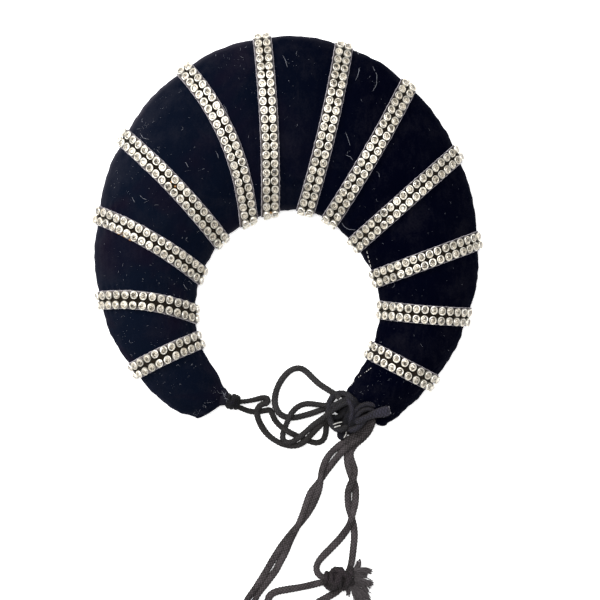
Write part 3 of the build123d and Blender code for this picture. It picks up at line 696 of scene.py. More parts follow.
def ladder_faces(count, offset=0, flip=False):
    """Quads that close a ring of points flat, each joining two neighbours to the two across."""
    i = np.arange(count // 2 - 1)
    quads = np.stack([i, i + 1, count - 2 - i, count - 1 - i], axis=1) + offset
    return quads[:, ::-1] if flip else quads


def tube_faces(rows, columns):
    """Quads of a closed tube: rings of points, one after another, with a cap on the first and the last."""
    side = grid_faces(rows, columns, close_columns=True)
    last = (rows - 1) * columns
    return np.concatenate([side, ladder_faces(columns), ladder_faces(columns, last, True)])


def plait_relief(turns, climb):
    """How far the plaits of a braid stand out, from 0 in the two sets of grooves that cross, up to 1."""
    return np.abs(np.sin(np.pi * (turns + climb)) * np.sin(np.pi * (turns - climb)))


def tidy_normals(piece):
    """Turns every face of a closed mesh outwards."""
    mesh = bmesh.new()
    mesh.from_mesh(piece.data)
    bmesh.ops.recalc_face_normals(mesh, faces=mesh.faces)
    mesh.to_mesh(piece.data)
    mesh.free()


def smooth_piece(name, points, faces, materials, **more):
    """One mesh piece whose normals are put right."""
    piece = mesh_object(name, points, faces, materials, **more)
    tidy_normals(piece)
    return piece


# Counts of folds: gathers all the way round at the inner and the outer rim, and creases across the front
INNER_GATHERS = 46
OUTER_GATHERS = 104
CREASES = 17
# Folds across the front at the left and at the right tip
TIP_FOLDS = (5, 6)
# Angles, in degrees, of the rings that round off both tips, and how far they reach
TIP_SWING = [18, 36, 52, 66, 76]
TIP_REACH = 1.5


def velvet_surface(sizes):
    """The padding's surface: the crescent pushed outwards between the bands, pressed in under them,
    drawn in along the seam near the back, and uneven where the cloth is gathered or slack. Gathers and
    creases are sines, each faded out by a bell curve, and slack is soft waves."""
    away, _ = nearest_band(SURFACE)
    rim_share = eased((OUTWARD[..., 2] + 0.8) / 0.8)
    swell = 1 - np.exp(-(np.maximum(away - 3.7, 0) / 4.0) ** 2)
    push = rim_share * (sizes.puff * swell - sizes.press * (1 - swell))
    slack = 0.20 * waves(SURFACE, 15, 3) + 0.10 * waves(SURFACE, 6, 4) + 0.035 * waves(SURFACE, 2.4, 5)
    push += rim_share * swell * slack
    angle = np.arctan2(SURFACE[..., 1] - CENTRE[1], SURFACE[..., 0] - CENTRE[0])
    gathers = np.sin(INNER_GATHERS * angle + 2.2 * np.sin(7 * angle) + 9 * ACROSS)
    push += 0.20 * gathers * np.exp(-((ACROSS - 0.06) / 0.10) ** 2) * rim_share * swell
    outer_gathers = np.sin(OUTER_GATHERS * angle + 2.5 * np.sin(9 * angle) - 8 * ACROSS)
    push += 0.13 * outer_gathers * np.exp(-((ACROSS - 0.97) / 0.05) ** 2) * rim_share * swell
    creases = np.sin(2 * np.pi * ACROSS * CREASES + 2 * waves(SURFACE, 20, 6))
    push += 0.12 * creases * np.exp(-((away - 5.2) / 1.6) ** 2) * rim_share
    seam = np.exp(-((SURFACE[..., 2] - sizes.seam_height) / 0.45) ** 2) * (OUTWARD[..., 2] > -0.995)
    push -= sizes.seam_depth * seam * (1 + 0.35 * np.sin(150 * angle))
    along = np.arange(len(SURFACE)) / STATION_STEPS
    for tip, folds in zip((along, along[::-1]), TIP_FOLDS):
        near = np.exp(-(tip / 0.9) ** 2)[:, None]
        ring = np.arange(SURFACE.shape[1]) / FRONT_COLUMNS
        push += 0.55 * near * rim_share * (np.cos(2 * np.pi * folds * ring) - 0.3)[None, :]
    corner = np.exp(-(along[::-1] / 1.1) ** 2)[:, None] * eased((ACROSS - 0.62) / 0.38)
    push -= 1.7 * corner * rim_share
    return SURFACE + OUTWARD * push[..., None]


def capped_tips(points):
    """Adds rings to both ends of the crescent that close it in a rounded gather."""
    rings = []
    for end, inside in ((points[0], points[1]), (points[-1], points[-2])):
        middle = (end.min(axis=0) + end.max(axis=0)) / 2
        away = unit(end.mean(axis=0) - inside.mean(axis=0)) * np.array([1, 1, 0])
        swing = np.radians(TIP_SWING)[:, None, None]
        ring = middle + (end - middle)[None] * np.cos(swing) + away * TIP_REACH * np.sin(swing)
        ring[..., 2] = np.maximum(ring[..., 2], 0.02)
        rings.append(ring)
    return np.concatenate([rings[0][::-1], points, rings[1]])


def make_velvet(sizes, look):
    """The padding as one closed mesh, with a flat back on the floor."""
    points = capped_tips(velvet_surface(sizes))
    points[..., 2] = np.maximum(points[..., 2], 0.0)
    rows, columns = points.shape[:2]
    faces = tube_faces(rows, columns)
    return smooth_piece("velvet_padding", points, faces, [velvet_pile(look)])


def front_height(plan):
    """Point and outward direction on the padded front that are nearest in plan to each plan point."""
    step = 2
    points = SURFACE[::step, RIM_POINTS:FRONT_COLUMNS - RIM_POINTS:step].reshape(-1, 3)
    outward = OUTWARD[::step, RIM_POINTS:FRONT_COLUMNS - RIM_POINTS:step].reshape(-1, 3)
    plan = np.asarray(plan, dtype=float)
    nearest = ((points[None, :, :2] - plan[:, None, :2]) ** 2).sum(axis=2).argmin(axis=1)
    found = points[nearest].copy()
    slope = outward[nearest]
    run = ((plan[:, :2] - found[:, :2]) * slope[:, :2]).sum(axis=1)
    found[:, :2] = plan[:, :2]
    found[:, 2] -= run / np.maximum(slope[:, 2], 0.2)
    return found, slope


def hem_to_hem(line, values, count, level):
    """Values along a line between the two places where it rises above a level."""
    run = run_along(line)
    above = np.flatnonzero(line[:, 2] > level)
    ends = []
    for a, b in ((above[0] - 1, above[0]), (above[-1] + 1, above[-1])):
        a = min(max(a, 0), len(line) - 1)
        share = (level - line[a, 2]) / max(line[b, 2] - line[a, 2], 1e-6)
        ends.append(run[a] + (run[b] - run[a]) * min(max(share, 0), 1))
    return resampled(line, values, count=count, start=ends[0], end=ends[1])


TAPE_COLUMNS = 15
TAPE_STEPS = 150
# Height of the tape's top and of its underside over the crescent
TAPE_TOP = 0.58
TAPE_UNDERSIDE = 0.16


def make_tape(number, sizes, look):
    """One net tape: a thin closed strip over the padding, whose two edges waver and sink a little, by the
    eighth power of the share of the way out from the middle."""
    band = BANDS[number]
    across = np.linspace(-1, 1, TAPE_COLUMNS)
    points, outward = lines_over(band, across * sizes.tape_width / 2)
    rows = []
    for line, away in zip(points, outward):
        both = np.stack([line, away], axis=1)
        rows.append(hem_to_hem(line, both, TAPE_STEPS, HEM_HEIGHT - 0.5))
    grid = np.array([r[0] for r in rows])
    run = np.array([r[1] for r in rows])
    middle, away = grid[:, :, 0], unit(grid[:, :, 1])
    edge = np.abs(across)[:, None] ** 8
    ripple = 0.10 * waves(middle, 3.0, 40 + number) + 0.05 * waves(middle, 1.2, 60 + number)
    top = middle + away * (TAPE_TOP + ripple * edge - 0.16 * edge)[..., None]
    bottom = middle + away * (TAPE_UNDERSIDE + 0 * edge)[..., None]
    side = unit(middle[1:2] - middle[0:1])
    pull = np.sign(across)[:, None] * edge * 0.16 * waves(middle, 2.2, 80 + number)
    top = top + side * pull[..., None]
    loop = np.concatenate([top, bottom[::-1]])
    shift = np.concatenate([across, across[::-1]]) * sizes.tape_width / 2
    uv = np.stack([np.repeat(shift, TAPE_STEPS), np.concatenate([run, run[::-1]]).ravel()], axis=1)
    faces = grid_faces(2 * TAPE_COLUMNS, TAPE_STEPS, close_rows=True)
    start = np.arange(2 * TAPE_COLUMNS) * TAPE_STEPS
    for column in (0, TAPE_STEPS - 1):
        near = start + column
        faces = np.concatenate([faces, near[ladder_faces(2 * TAPE_COLUMNS)]])
    name = f"net_tape_{number + 1:02d}"
    return smooth_piece(name, loop, faces, [knitted_tape(look)], uv=uv)


def stone_places(number, sizes):
    """Places of one band's stones: the middle of each cup's foot and its directions along the tape,
    across it and outwards. The number of pairs follows from the tape's own pitch, as in the part's
    source. The pairs keep an even pitch, as close as the photograph shows it on that band, and both
    rows are counted from the point nearest to the crest."""
    band = BANDS[number]
    half = max(band[3], sizes.cup_width + 0.02) / 2
    points, outward = lines_over(band, [half, 0.0, -half])
    skin = points + outward * CAD_TAPE_TOP
    middle = skin[1]
    chord = middle[0, :2] * CREST_SHARE + middle[-1, :2] * (1 - CREST_SHARE)
    near = np.linalg.norm(middle[:, :2] - chord, axis=1).argmin()
    ahead = unit(middle[near + 2, :2] - middle[near - 2, :2])
    rows = []
    for k in (0, 2):
        line, away = skin[k], outward[k]
        inside = line[:, 2] > 0
        line, away = line[inside], away[inside]
        run = run_along(line)
        level = (line[:, :2] - middle[near, :2]) @ ahead
        rows.append((line, away, run, np.interp(0, level, run)))
    before = min(r[3] for r in rows)
    after = min(r[2][-1] - r[3] for r in rows)
    room = before + after - 2 * (HEM_HEIGHT + ROW_END_MARGIN)
    count = int(room / sizes.stone_pitch) + 1
    gap = sizes.stone_pitch * (1 - STONES_CLOSER[number])
    first = (after - before - (count - 1) * gap) / 2
    steps = first + np.arange(count) * gap
    ends, ways, aways = [], [], []
    for line, away, run, mid in rows:
        at = mid + steps
        ends.append(np.stack([np.interp(at, run, line[:, k]) for k in range(3)], axis=1))
        later = np.stack([np.interp(at + 0.5, run, line[:, k]) for k in range(3)], axis=1)
        ways.append(unit(later - ends[-1]))
        aways.append(np.stack([np.interp(at, run, away[:, k]) for k in range(3)], axis=1))
    across = unit(ends[0] - ends[1])
    forward = ways[0] + ways[1]
    forward = unit(forward - across * (forward * across).sum(axis=1, keepdims=True))
    out = np.cross(forward, across)
    out *= np.sign((out * (aways[0] + aways[1])).sum(axis=1, keepdims=True))
    middle = (ends[0] + ends[1]) / 2 - out * 0.12
    feet = np.stack([middle + across * half, middle - across * half], axis=1)
    return feet, forward, across, out


def jittered(feet, forward, across, out, number, amount):
    """Directions of each single stone, turned and tipped a little as hand-set stones are."""
    draw = np.random.default_rng(200 + number)
    shape = feet.shape[:2]
    tip = draw.normal(scale=amount, size=shape + (2,))
    turn = draw.normal(scale=2.5 * amount, size=shape)[..., None]
    z = unit(out[:, None] + forward[:, None] * tip[..., :1] + across[:, None] * tip[..., 1:])
    x = forward[:, None] + across[:, None] * turn
    x = unit(x - z * (x * z).sum(axis=-1, keepdims=True))
    y = np.cross(z, x)
    moved = feet + x * draw.normal(scale=0.05, size=shape)[..., None]
    return moved + y * draw.normal(scale=0.05, size=shape)[..., None], x, y, z


CUP_SIDES = 12
# The photograph shows the cups longer up its frame than across it: shares along x, y and z
CUP_STRETCH = np.array([0.93, 1.06, 1.0])
# Radius and height of the rings of a cup, as shares of the cup's width, from its foot over its lip
CUP_RINGS = np.array([
    (0.42, 0.00), (0.48, 0.08), (0.50, 0.22), (0.498, 0.325), (0.472, 0.370), (0.405, 0.382), (0.384, 0.28),
])
# How far the claws rise at each of those rings, as shares too
CLAW_LIFT = np.array([0, 0, 0.01, 0.03, 0.05, 0.04, 0.0])
STONE_FACETS = 8
# Radius and height of a cut stone's girdle, crown and table, as shares of the cup's width
STONE_RINGS = np.array([(0.382, 0.29), (0.295, 0.370), (0.180, 0.405)])


def cup_shape(width):
    """One claw cup: rings carried round its axis. Four claws rise from the lip, by the square of a
    cosine that turns four times round, where it is positive. Returns its points and quads."""
    angle = np.arange(CUP_SIDES) * 2 * np.pi / CUP_SIDES
    claw = np.maximum(np.cos(4 * angle), 0) ** 2
    lift = CLAW_LIFT[:, None] * claw
    radius = CUP_RINGS[:, :1] - 0.5 * lift
    height = CUP_RINGS[:, 1:] + lift
    points = np.stack([radius * np.cos(angle), radius * np.sin(angle), height + 0 * angle], axis=-1)
    faces = grid_faces(len(CUP_RINGS), CUP_SIDES, close_columns=True)
    floor = ladder_faces(CUP_SIDES, (len(CUP_RINGS) - 1) * CUP_SIDES)
    return points.reshape(-1, 3) * width, np.concatenate([faces, floor, ladder_faces(CUP_SIDES)])


def cut_stone_shape(width):
    """One cut stone: eight girdle facets, eight kites split in two, eight star facets and a table.
    Returns its points and its triangles."""
    rings = []
    for (radius, height), turn in zip(STONE_RINGS, (0.5, 0.0, 0.5)):
        angle = (np.arange(STONE_FACETS) + turn) * 2 * np.pi / STONE_FACETS
        rings.append(np.stack([radius * np.cos(angle), radius * np.sin(angle), 0 * angle + height], -1))
    i = np.arange(STONE_FACETS)
    j = (i + 1) % STONE_FACETS
    above, top = STONE_FACETS, 2 * STONE_FACETS
    fan = np.arange(STONE_FACETS - 2)
    faces = [
        np.stack([i, above + j, above + i], axis=1),
        np.stack([i, j, above + j], axis=1),
        np.stack([above + i, above + j, top + i], axis=1),
        np.stack([top + i, above + j, top + j], axis=1),
        np.stack([top + 0 * fan, top + 1 + fan, top + 2 + fan], axis=1),
    ]
    return np.concatenate(rings) * width, np.concatenate(faces)


def placed(template, faces, feet, x, y, z):
    """A template repeated at every foot, turned to its directions."""
    feet, x, y, z = (a.reshape(-1, 1, 3) for a in (feet, x, y, z))
    offset = template[None, :, :1] * x + template[None, :, 1:2] * y + template[None, :, 2:] * z
    points = feet + offset * CUP_STRETCH
    shift = (np.arange(len(feet)) * len(template))[:, None, None]
    return points.reshape(-1, 3), (faces[None] + shift).reshape(-1, faces.shape[1])


def make_stones(number, sizes, look):
    """The cups of one band and the cut stones in them. Each stands on the tape by itself. A facet's
    glint is a value that falls from ring to ring, a sine of its direction with a chance phase for each
    stone, and scatter. The table has no sine."""
    feet, forward, across, out = stone_places(number, sizes)
    feet, x, y, z = jittered(feet, forward, across, out, number, sizes.unevenness)
    template, faces = cup_shape(sizes.cup_width)
    points, quads = placed(template, faces, feet, x, y, z)
    cups = mesh_object(f"claw_cups_{number + 1:02d}", points, quads, [plated_cup(look)])
    cups.data.shade_flat()
    tidy_normals(cups)
    template, faces = cut_stone_shape(sizes.cup_width)
    points, triangles = placed(template, faces, feet, x, y, z)
    stones = mesh_object(
        f"cut_stones_{number + 1:02d}", points, triangles, [foiled_glass(look)], smooth=False
    )
    draw = np.random.default_rng(300 + number)
    count = feet.shape[0] * 2
    table = 4
    around = np.arange(STONE_FACETS)
    facet = np.concatenate([np.repeat(np.arange(table), STONE_FACETS), np.full(STONE_FACETS - 2, table)])
    turn = np.concatenate([around] * table + [np.zeros(STONE_FACETS - 2)])
    phase = draw.normal(scale=0.7, size=(count, 1)) + facet[None] * 0.9
    sine = np.sin(turn[None] * 2 * np.pi / STONE_FACETS + phase)
    glint = 0.44 - 0.04 * facet[None] + 0.36 * sine * (facet < table)
    glint = glint + draw.normal(scale=0.22, size=(count, len(facet)))
    glint = glint + draw.normal(scale=0.08, size=(count, 1))
    layer = stones.data.attributes.new("glint", "FLOAT", "FACE")
    layer.data.foreach_set("value", np.clip(glint, 0, 1).ravel())
    tidy_normals(stones)
    return cups, stones


def on_photo(places):
    """Places seen in the photograph, as (column, row) in its pixels and a height in millimetres, turned
    into millimetres."""
    places = np.array(places, dtype=float)
    x = CENTRE[0] + (places[..., 0] - PHOTO_CENTRE[0]) * PIXEL
    y = CENTRE[1] - (places[..., 1] - PHOTO_CENTRE[1]) * PIXEL
    return np.stack([x, y, places[..., 2]], axis=-1)


def smooth_line(route):
    """Points of the smooth line through a route's points, read from its NURBS spline, in millimetres."""
    route = np.asarray(route, dtype=float)
    curve = bpy.data.curves.new("route", "CURVE")
    curve.dimensions = "3D"
    spline = curve.splines.new("NURBS")
    spline.points.add(len(route) - 1)
    corners = np.concatenate([route * MM, np.ones((len(route), 1))], axis=1)
    spline.points.foreach_set("co", corners.ravel())
    spline.order_u = 3
    spline.use_endpoint_u = True
    spline.resolution_u = 14
    holder = bpy.data.objects.new("route", curve)
    bpy.context.scene.collection.objects.link(holder)
    mesh = bpy.data.meshes.new_from_object(holder)
    found = np.empty(len(mesh.vertices) * 3)
    mesh.vertices.foreach_get("co", found)
    bpy.data.objects.remove(holder)
    bpy.data.meshes.remove(mesh)
    bpy.data.curves.remove(curve)
    return found.reshape(-1, 3) / MM


CORD_SIDES = 32
CORD_STEP = 0.24
PLAITS = 12
# Width times height of a cord's section, and the least and greatest height
CORD_SECTION = 4.7
CORD_HEIGHTS = (1.5, 2.0)
# Length at both ends of a strand over which it narrows
TUCKED_END = 1.2


def braided_tube(line, width, height, seed, level=(0, 0, 1), *, pitch, ends=1.0):
    """Braided cord along a line: an ellipse carried along it, whose radius swells in a lattice of
    plaits, the product of the absolute sines of two helices that wind opposite ways round it. The cord
    rolls and swells a little on its way, and its flat side turns away from the level direction. Width
    and height are numbers or have one value for each point of the line. Returns its points, quads and
    UV, which is the share of the way round it and the count of plaits along it."""
    sizes = np.broadcast_to(np.stack(np.broadcast_arrays(width, height), axis=-1), (len(line), 2))
    both, at = resampled(line, np.concatenate([line, sizes], axis=1), step=CORD_STEP)
    middle, width, height = both[:, :3], both[:, 3], both[:, 4]
    ahead = unit(np.gradient(middle, axis=0))
    side = unit(np.cross(ahead, np.array(level, dtype=float)))
    up = np.cross(side, ahead)
    count = len(middle)
    angle = np.arange(CORD_SIDES) * 2 * np.pi / CORD_SIDES - np.pi / 2
    draw = np.random.default_rng(seed)
    phase = draw.uniform(0, 2 * np.pi, 4)
    roll = 0.20 * np.sin(at / 7 + phase[0]) + 0.14 * np.sin(at / 2.9 + phase[1])
    swell = 1 + 0.02 * np.sin(at / 5.3 + phase[2]) + 0.015 * np.sin(at / 1.7 + phase[3])
    turns = PLAITS / 2 * np.arange(CORD_SIDES)[None, :] / CORD_SIDES
    climb = at[:, None] / pitch
    lattice = plait_relief(turns, climb)
    grow = 0.28 * (lattice - 0.35) + 0.03 * draw.normal(size=(count, CORD_SIDES))
    close = np.ones(count)
    tip = max(int(TUCKED_END / CORD_STEP), 2)
    close[:tip] = np.linspace(ends, 1, tip)
    close[-tip:] = np.linspace(1, ends, tip)
    wide = (width / 2 * swell * close)[:, None] + grow
    high = (height / 2 / swell ** 0.5 * close)[:, None] + grow
    flat = wide * np.cos(angle)
    tall = high * np.sin(angle)
    turn_x, turn_z = np.cos(roll)[:, None], np.sin(roll)[:, None]
    x = flat * turn_x - tall * turn_z
    z = flat * turn_z + tall * turn_x
    points = middle[:, None, :] + side[:, None, :] * x[..., None] + up[:, None, :] * z[..., None]
    faces = tube_faces(count, CORD_SIDES)
    share = np.tile(np.arange(CORD_SIDES) / CORD_SIDES, (count, 1))
    uv = np.stack([share, np.repeat(at[:, None] / pitch, CORD_SIDES, axis=1)], axis=-1)
    return points.reshape(-1, 3), faces, uv.reshape(-1, 2)


def joined(parts):
    """Points, quads and UV of several parts as one set, each part's quads moved past the last one's."""
    shifts = np.concatenate([[0], np.cumsum([len(p[0]) for p in parts])[:-1]])
    points = np.concatenate([p[0] for p in parts])
    faces = np.concatenate([p[1] + s for p, s in zip(parts, shifts)])
    return points, faces, np.concatenate([p[2] for p in parts])


def loose_strands(lines, thick, sides=4):
    """Thin strands as one mesh: a small polygon carried along every line, tapered to both ends. Lines
    is an array of strands by points by three. Returns points, quads and UV."""
    lines = np.asarray(lines, dtype=float)
    strands, steps = lines.shape[:2]
    ahead = unit(np.gradient(lines, axis=1))
    side = unit(np.cross(ahead, np.array([0.13, 0.21, 1.0])))
    up = np.cross(side, ahead)
    share = np.linspace(-1, 1, steps)
    taper = np.sqrt(np.maximum(1 - np.abs(share) ** 6, 0.04))
    radius = np.asarray(thick, dtype=float).reshape(-1, 1) / 2 * taper[None, :]
    angle = np.arange(sides) * 2 * np.pi / sides
    ring = side[:, :, None] * np.cos(angle)[:, None] + up[:, :, None] * np.sin(angle)[:, None]
    points = lines[:, :, None] + ring * radius[:, :, None, None]
    faces = grid_faces(steps, sides, close_columns=True)
    caps = ladder_faces(sides) if sides > 3 else np.empty((0, 4), dtype=int)
    flipped = ladder_faces(sides, (steps - 1) * sides, True) if sides > 3 else caps
    faces = np.concatenate([faces, caps, flipped])
    shift = (np.arange(strands) * steps * sides)[:, None, None]
    faces = (faces[None] + shift).reshape(-1, 4)
    run = np.linspace(0, 8, steps)
    uv = np.stack(np.broadcast_arrays(angle[None, None, :] * 0.3, run[None, :, None]), axis=-1)
    uv = np.broadcast_to(uv, (strands, steps, sides, 2))
    return points.reshape(-1, 3), faces, uv.reshape(-1, 2)


def lumpy_blob(middle, size, seed, rough=0.12, rows=14, columns=22):
    """Rounded lump: a ball stretched to half sizes along x, y and z, whose radius is uneven by soft
    waves. Its poles are closed with a small ladder of quads. Returns points, quads and UV."""
    tilt = np.linspace(0.12, np.pi - 0.12, rows)[:, None]
    turn = (np.arange(columns) * 2 * np.pi / columns)[None, :]
    x, y, z = np.sin(tilt) * np.cos(turn), np.sin(tilt) * np.sin(turn), np.cos(tilt)
    ball = np.stack(np.broadcast_arrays(x, y, z), axis=-1)
    ball = ball * (1 + rough * waves(ball, 1.1, seed))[..., None]
    points = np.asarray(middle, dtype=float) + ball * np.asarray(size, dtype=float)
    faces = tube_faces(rows, columns)
    uv = np.stack(np.broadcast_arrays(turn * size[0], tilt * size[2]), axis=-1)
    return points.reshape(-1, 3), faces, uv.reshape(-1, 2)


def rest_on_floor(points, lowest=0.05):
    """Points lifted to a lowest height, so that nothing goes below the floor."""
    lifted = points.copy()
    lifted[:, 2] = np.maximum(lifted[:, 2], lowest)
    return lifted


def make_cord(name, look, sizes):
    """One cord: its braided tube along the smooth line of its route, lower where it is wider. Returns
    the piece, the line's points in metres and its length."""
    route = np.array(CORDS[name])
    corners = on_photo(route[:, :3])
    line = smooth_line(corners)
    share = run_along(line) / run_along(line)[-1]
    width = np.interp(share, run_along(corners) / run_along(corners)[-1], route[:, 3])
    height = np.clip(CORD_SECTION / width, *CORD_HEIGHTS)
    number = list(CORDS).index(name)
    points, faces, uv = braided_tube(line, width, height, 500 + number, pitch=sizes.braid_pitch)
    finish = braided_cord(look, name.split("_")[0])
    piece = mesh_object(f"braided_{name}", points, faces, [finish], uv=uv)
    tidy_normals(piece)
    return piece, line * MM, run_along(line)[-1] * MM


def wrap_line(middle, axis, radius, turns, start, lean=0.0, tuck=0.35, high=1.0):
    """One wrap of cord round an axis: a circle that drifts along the axis as it goes round, and whose
    radius shrinks at both ends, where the strand is tucked in."""
    axis = unit(np.array(axis, dtype=float))
    side = unit(np.cross(axis, [0.1, 0.2, 1.0] if abs(axis[2]) < 0.8 else [1.0, 0, 0]))
    up = np.cross(side, axis)
    share = np.linspace(0, 1, 90)
    angle = start + 2 * np.pi * turns * share
    shrink = 1 - tuck * (np.exp(-(share / 0.07) ** 2) + np.exp(-((1 - share) / 0.07) ** 2))
    out = (radius * shrink)[:, None]
    drift = (lean * (share - 0.5))[:, None]
    around = side * np.cos(angle)[:, None] + up * high * np.sin(angle)[:, None]
    return np.array(middle, dtype=float) + out * around + axis * drift


def make_left_knot(look, sizes):
    """The knot at the left tip, tied on the gathered end of the cloth: three wraps of cord round the strands,
    one slanted over them, and a core inside."""
    parts = []
    for k, (column, row, radius, lean) in enumerate(LEFT_WRAPS):
        middle = on_photo((column, row, 3.45))
        line = wrap_line(middle, (1, -0.2, 0), radius, 1.15, 0.9 + 2.1 * k, lean=lean)
        parts.append(braided_tube(line, 2.15, 1.9, 600 + k, (1, -0.2, 0), pitch=sizes.braid_pitch, ends=0.7))
    slant = smooth_line(on_photo(LEFT_SLANT))
    parts.append(braided_tube(slant, 2.1, 1.8, 604, pitch=sizes.braid_pitch, ends=0.7))
    parts.append(lumpy_blob(on_photo((232.6, 402.2, 3.3)), (3.4, 1.9, 2.3), 605))
    points, faces, uv = joined(parts)
    # Painted shade: the whole left knot takes the near-black knot colour
    return smooth_piece("tied_left_knot", rest_on_floor(points), faces, [braided_cord(look, "knot")], uv=uv)


STUMP_STEPS = 30
STUMP_SIDES = 64


def make_cloth_stump(look):
    """The gathered end of the velvet between the left tip and its knot: a ring that narrows towards
    the knot, with folds that deepen where it is tied."""
    share = np.linspace(0, 1, STUMP_STEPS)[:, None]
    angle = (np.arange(STUMP_SIDES) * 2 * np.pi / STUMP_SIDES)[None, :]
    start, end = on_photo((219.5, 396.5, 3.3)), on_photo((229.5, 401.5, 3.35))
    axis = unit(end - start)
    side = unit(np.cross(axis, [0, 0, 1]))
    up = np.cross(side, axis)
    wide = 3.9 - 1.75 * eased(share * 1.1)
    high = 3.1 - 0.9 * eased(share * 1.1)
    folds = 1 + (0.05 + 0.11 * share) * np.sin(9 * angle + 1.4 * np.sin(2 * angle) + 0.8 * share)
    folds = folds + 0.035 * np.sin(17 * angle + 2.0 * share)
    x = wide * folds * np.cos(angle)
    z = high * folds * np.sin(angle)
    points = start + (end - start) * share[..., None] + side * x[..., None] + up * z[..., None]
    faces = tube_faces(STUMP_STEPS, STUMP_SIDES)
    points = rest_on_floor(points.reshape(-1, 3), 0.03)
    return smooth_piece("gathered_cloth_end", points, faces, [velvet_pile(look, worn=True)])


def make_tip_fold(look):
    """The fold of velvet that bulges out under the cut end at the right tip, a lumpy ellipsoid."""
    points, faces, _ = lumpy_blob(on_photo((381.4, 419.6, 3.4)), (3.2, 2.8, 3.1), 607, 0.10, 18, 30)
    return smooth_piece("folded_cloth_at_tip", rest_on_floor(points), faces, [velvet_pile(look)])


def make_main_knot(look, sizes):
    """The bulky knot at the right tip: two turns of cord laid round in a ring, a third on top of them,
    strands slung through the ring, wraps beside it, and dark lumps where strands hide each other. The strands
    deep in the knot and the lumps are drawn near black, a painted shade."""
    parts, kinds = [], []
    turn = np.linspace(0, 2 * np.pi, 13)[:-1]
    middle = on_photo(RING_MIDDLE)
    for k, level in enumerate(RING_LEVELS):
        around = np.concatenate([turn, turn[:3]]) + 0.6 + 2.4 * k
        x = middle[0] + RING_HALF[0] * PIXEL * np.cos(around) * (1 - 0.03 * k)
        y = middle[1] + RING_HALF[1] * PIXEL * np.sin(around) * (1 - 0.02 * k)
        lift = level + 0.25 * np.sin(3 * around + k)
        line = smooth_line(np.stack([x, y, lift], axis=1))
        parts.append(braided_tube(line, 2.4, 2.1, 610 + k, pitch=sizes.braid_pitch, ends=0.7))
        kinds.append("ring")
    for k, (wide, kind, strand) in enumerate(MAIN_KNOT_STRANDS):
        line = smooth_line(on_photo(strand))
        parts.append(braided_tube(line, wide, 1.95, 620 + k, pitch=sizes.braid_pitch, ends=0.7))
        kinds.append(kind)
    for k, (place, size) in enumerate(MAIN_KNOT_LUMPS):
        parts.append(lumpy_blob(on_photo(place), size, 640 + k, 0.16))
        kinds.append("knot")
    points, faces, uv = joined(parts)
    used = ["ring", "knot", "soiled"]
    slots = np.concatenate([np.full(len(part[1]), used.index(kind)) for part, kind in zip(parts, kinds)])
    finishes = [braided_cord(look, kind) for kind in used]
    return smooth_piece("tied_main_knot", rest_on_floor(points), faces, finishes, uv=uv, indices=slots)


CUT_END_SIDES = 40
CUT_END_FIBRES = 90


def make_cut_end(look):
    """The flat cut end of the braid that lies over the right tip. Its section is a flattened ellipse
    that widens towards the cut, with three soft ribs of a pressed braid, and short fibres stand out of
    it."""
    line = smooth_line(on_photo(CUT_END_ROUTE))
    middle, at = resampled(line, line, step=0.25)
    share = at / at[-1]
    ahead = unit(np.gradient(middle, axis=0))
    side = unit(np.cross(ahead, [0, 0, 1]))
    up = np.cross(side, ahead)
    angle = (np.arange(CUT_END_SIDES) * 2 * np.pi / CUT_END_SIDES)[None, :]
    rounded = 1 - 0.30 * np.clip((share - 0.93) / 0.07, 0, 1) ** 2
    wide = ((1.35 + 0.85 * eased((share - 0.30) / 0.6)) * rounded)[:, None]
    high = (0.95 - 0.28 * share)[:, None]
    turns = PLAITS / 2 * angle / (2 * np.pi)
    climb = at[:, None] / 1.3
    lattice = plait_relief(turns, climb)
    grow = 0.14 * (lattice - 0.4) + 0.08 * np.sin(3 * angle + at[:, None] / 2)
    scatter = np.random.default_rng(650).normal(size=(len(at), CUT_END_SIDES))
    frayed = 0.10 * scatter * (share[:, None] > 0.9)
    x = (wide + grow + frayed) * np.sign(np.cos(angle)) * np.abs(np.cos(angle)) ** 0.8
    z = (high + grow) * np.sin(angle)
    points = middle[:, None] + side[:, None] * x[..., None] + up[:, None] * z[..., None]
    faces = tube_faces(len(at), CUT_END_SIDES)
    uv = np.stack(np.broadcast_arrays(angle / (2 * np.pi), climb), axis=-1).reshape(-1, 2)
    body = (points.reshape(-1, 3), faces, uv)
    draw = np.random.default_rng(651)
    count = CUT_END_FIBRES
    root_x = draw.uniform(-1.5, 1.5, count)
    root_z = draw.uniform(-0.55, 0.55, count)
    roots = middle[-2] + side[-2] * root_x[:, None] + up[-2] * root_z[:, None]
    out = ahead[-2] * draw.uniform(0.10, 0.60, count)[:, None]
    out = out + side[-2] * draw.normal(0, 0.16, count)[:, None]
    out = out + up[-2] * draw.normal(0, 0.12, count)[:, None]
    steps = np.linspace(0, 1, 4)[None, :, None]
    fibres = loose_strands(roots[:, None] + out[:, None] * steps, np.full(count, 0.13))
    bands = mesh_object("cut_braid_end", body[0], body[1], [braided_cord(look, "soiled")], uv=body[2])
    fringe = mesh_object("cut_braid_fibres", fibres[0], fibres[1], [cut_fibre()], uv=fibres[2])
    for piece in (bands, fringe):
        tidy_normals(piece)
    return bands, fringe


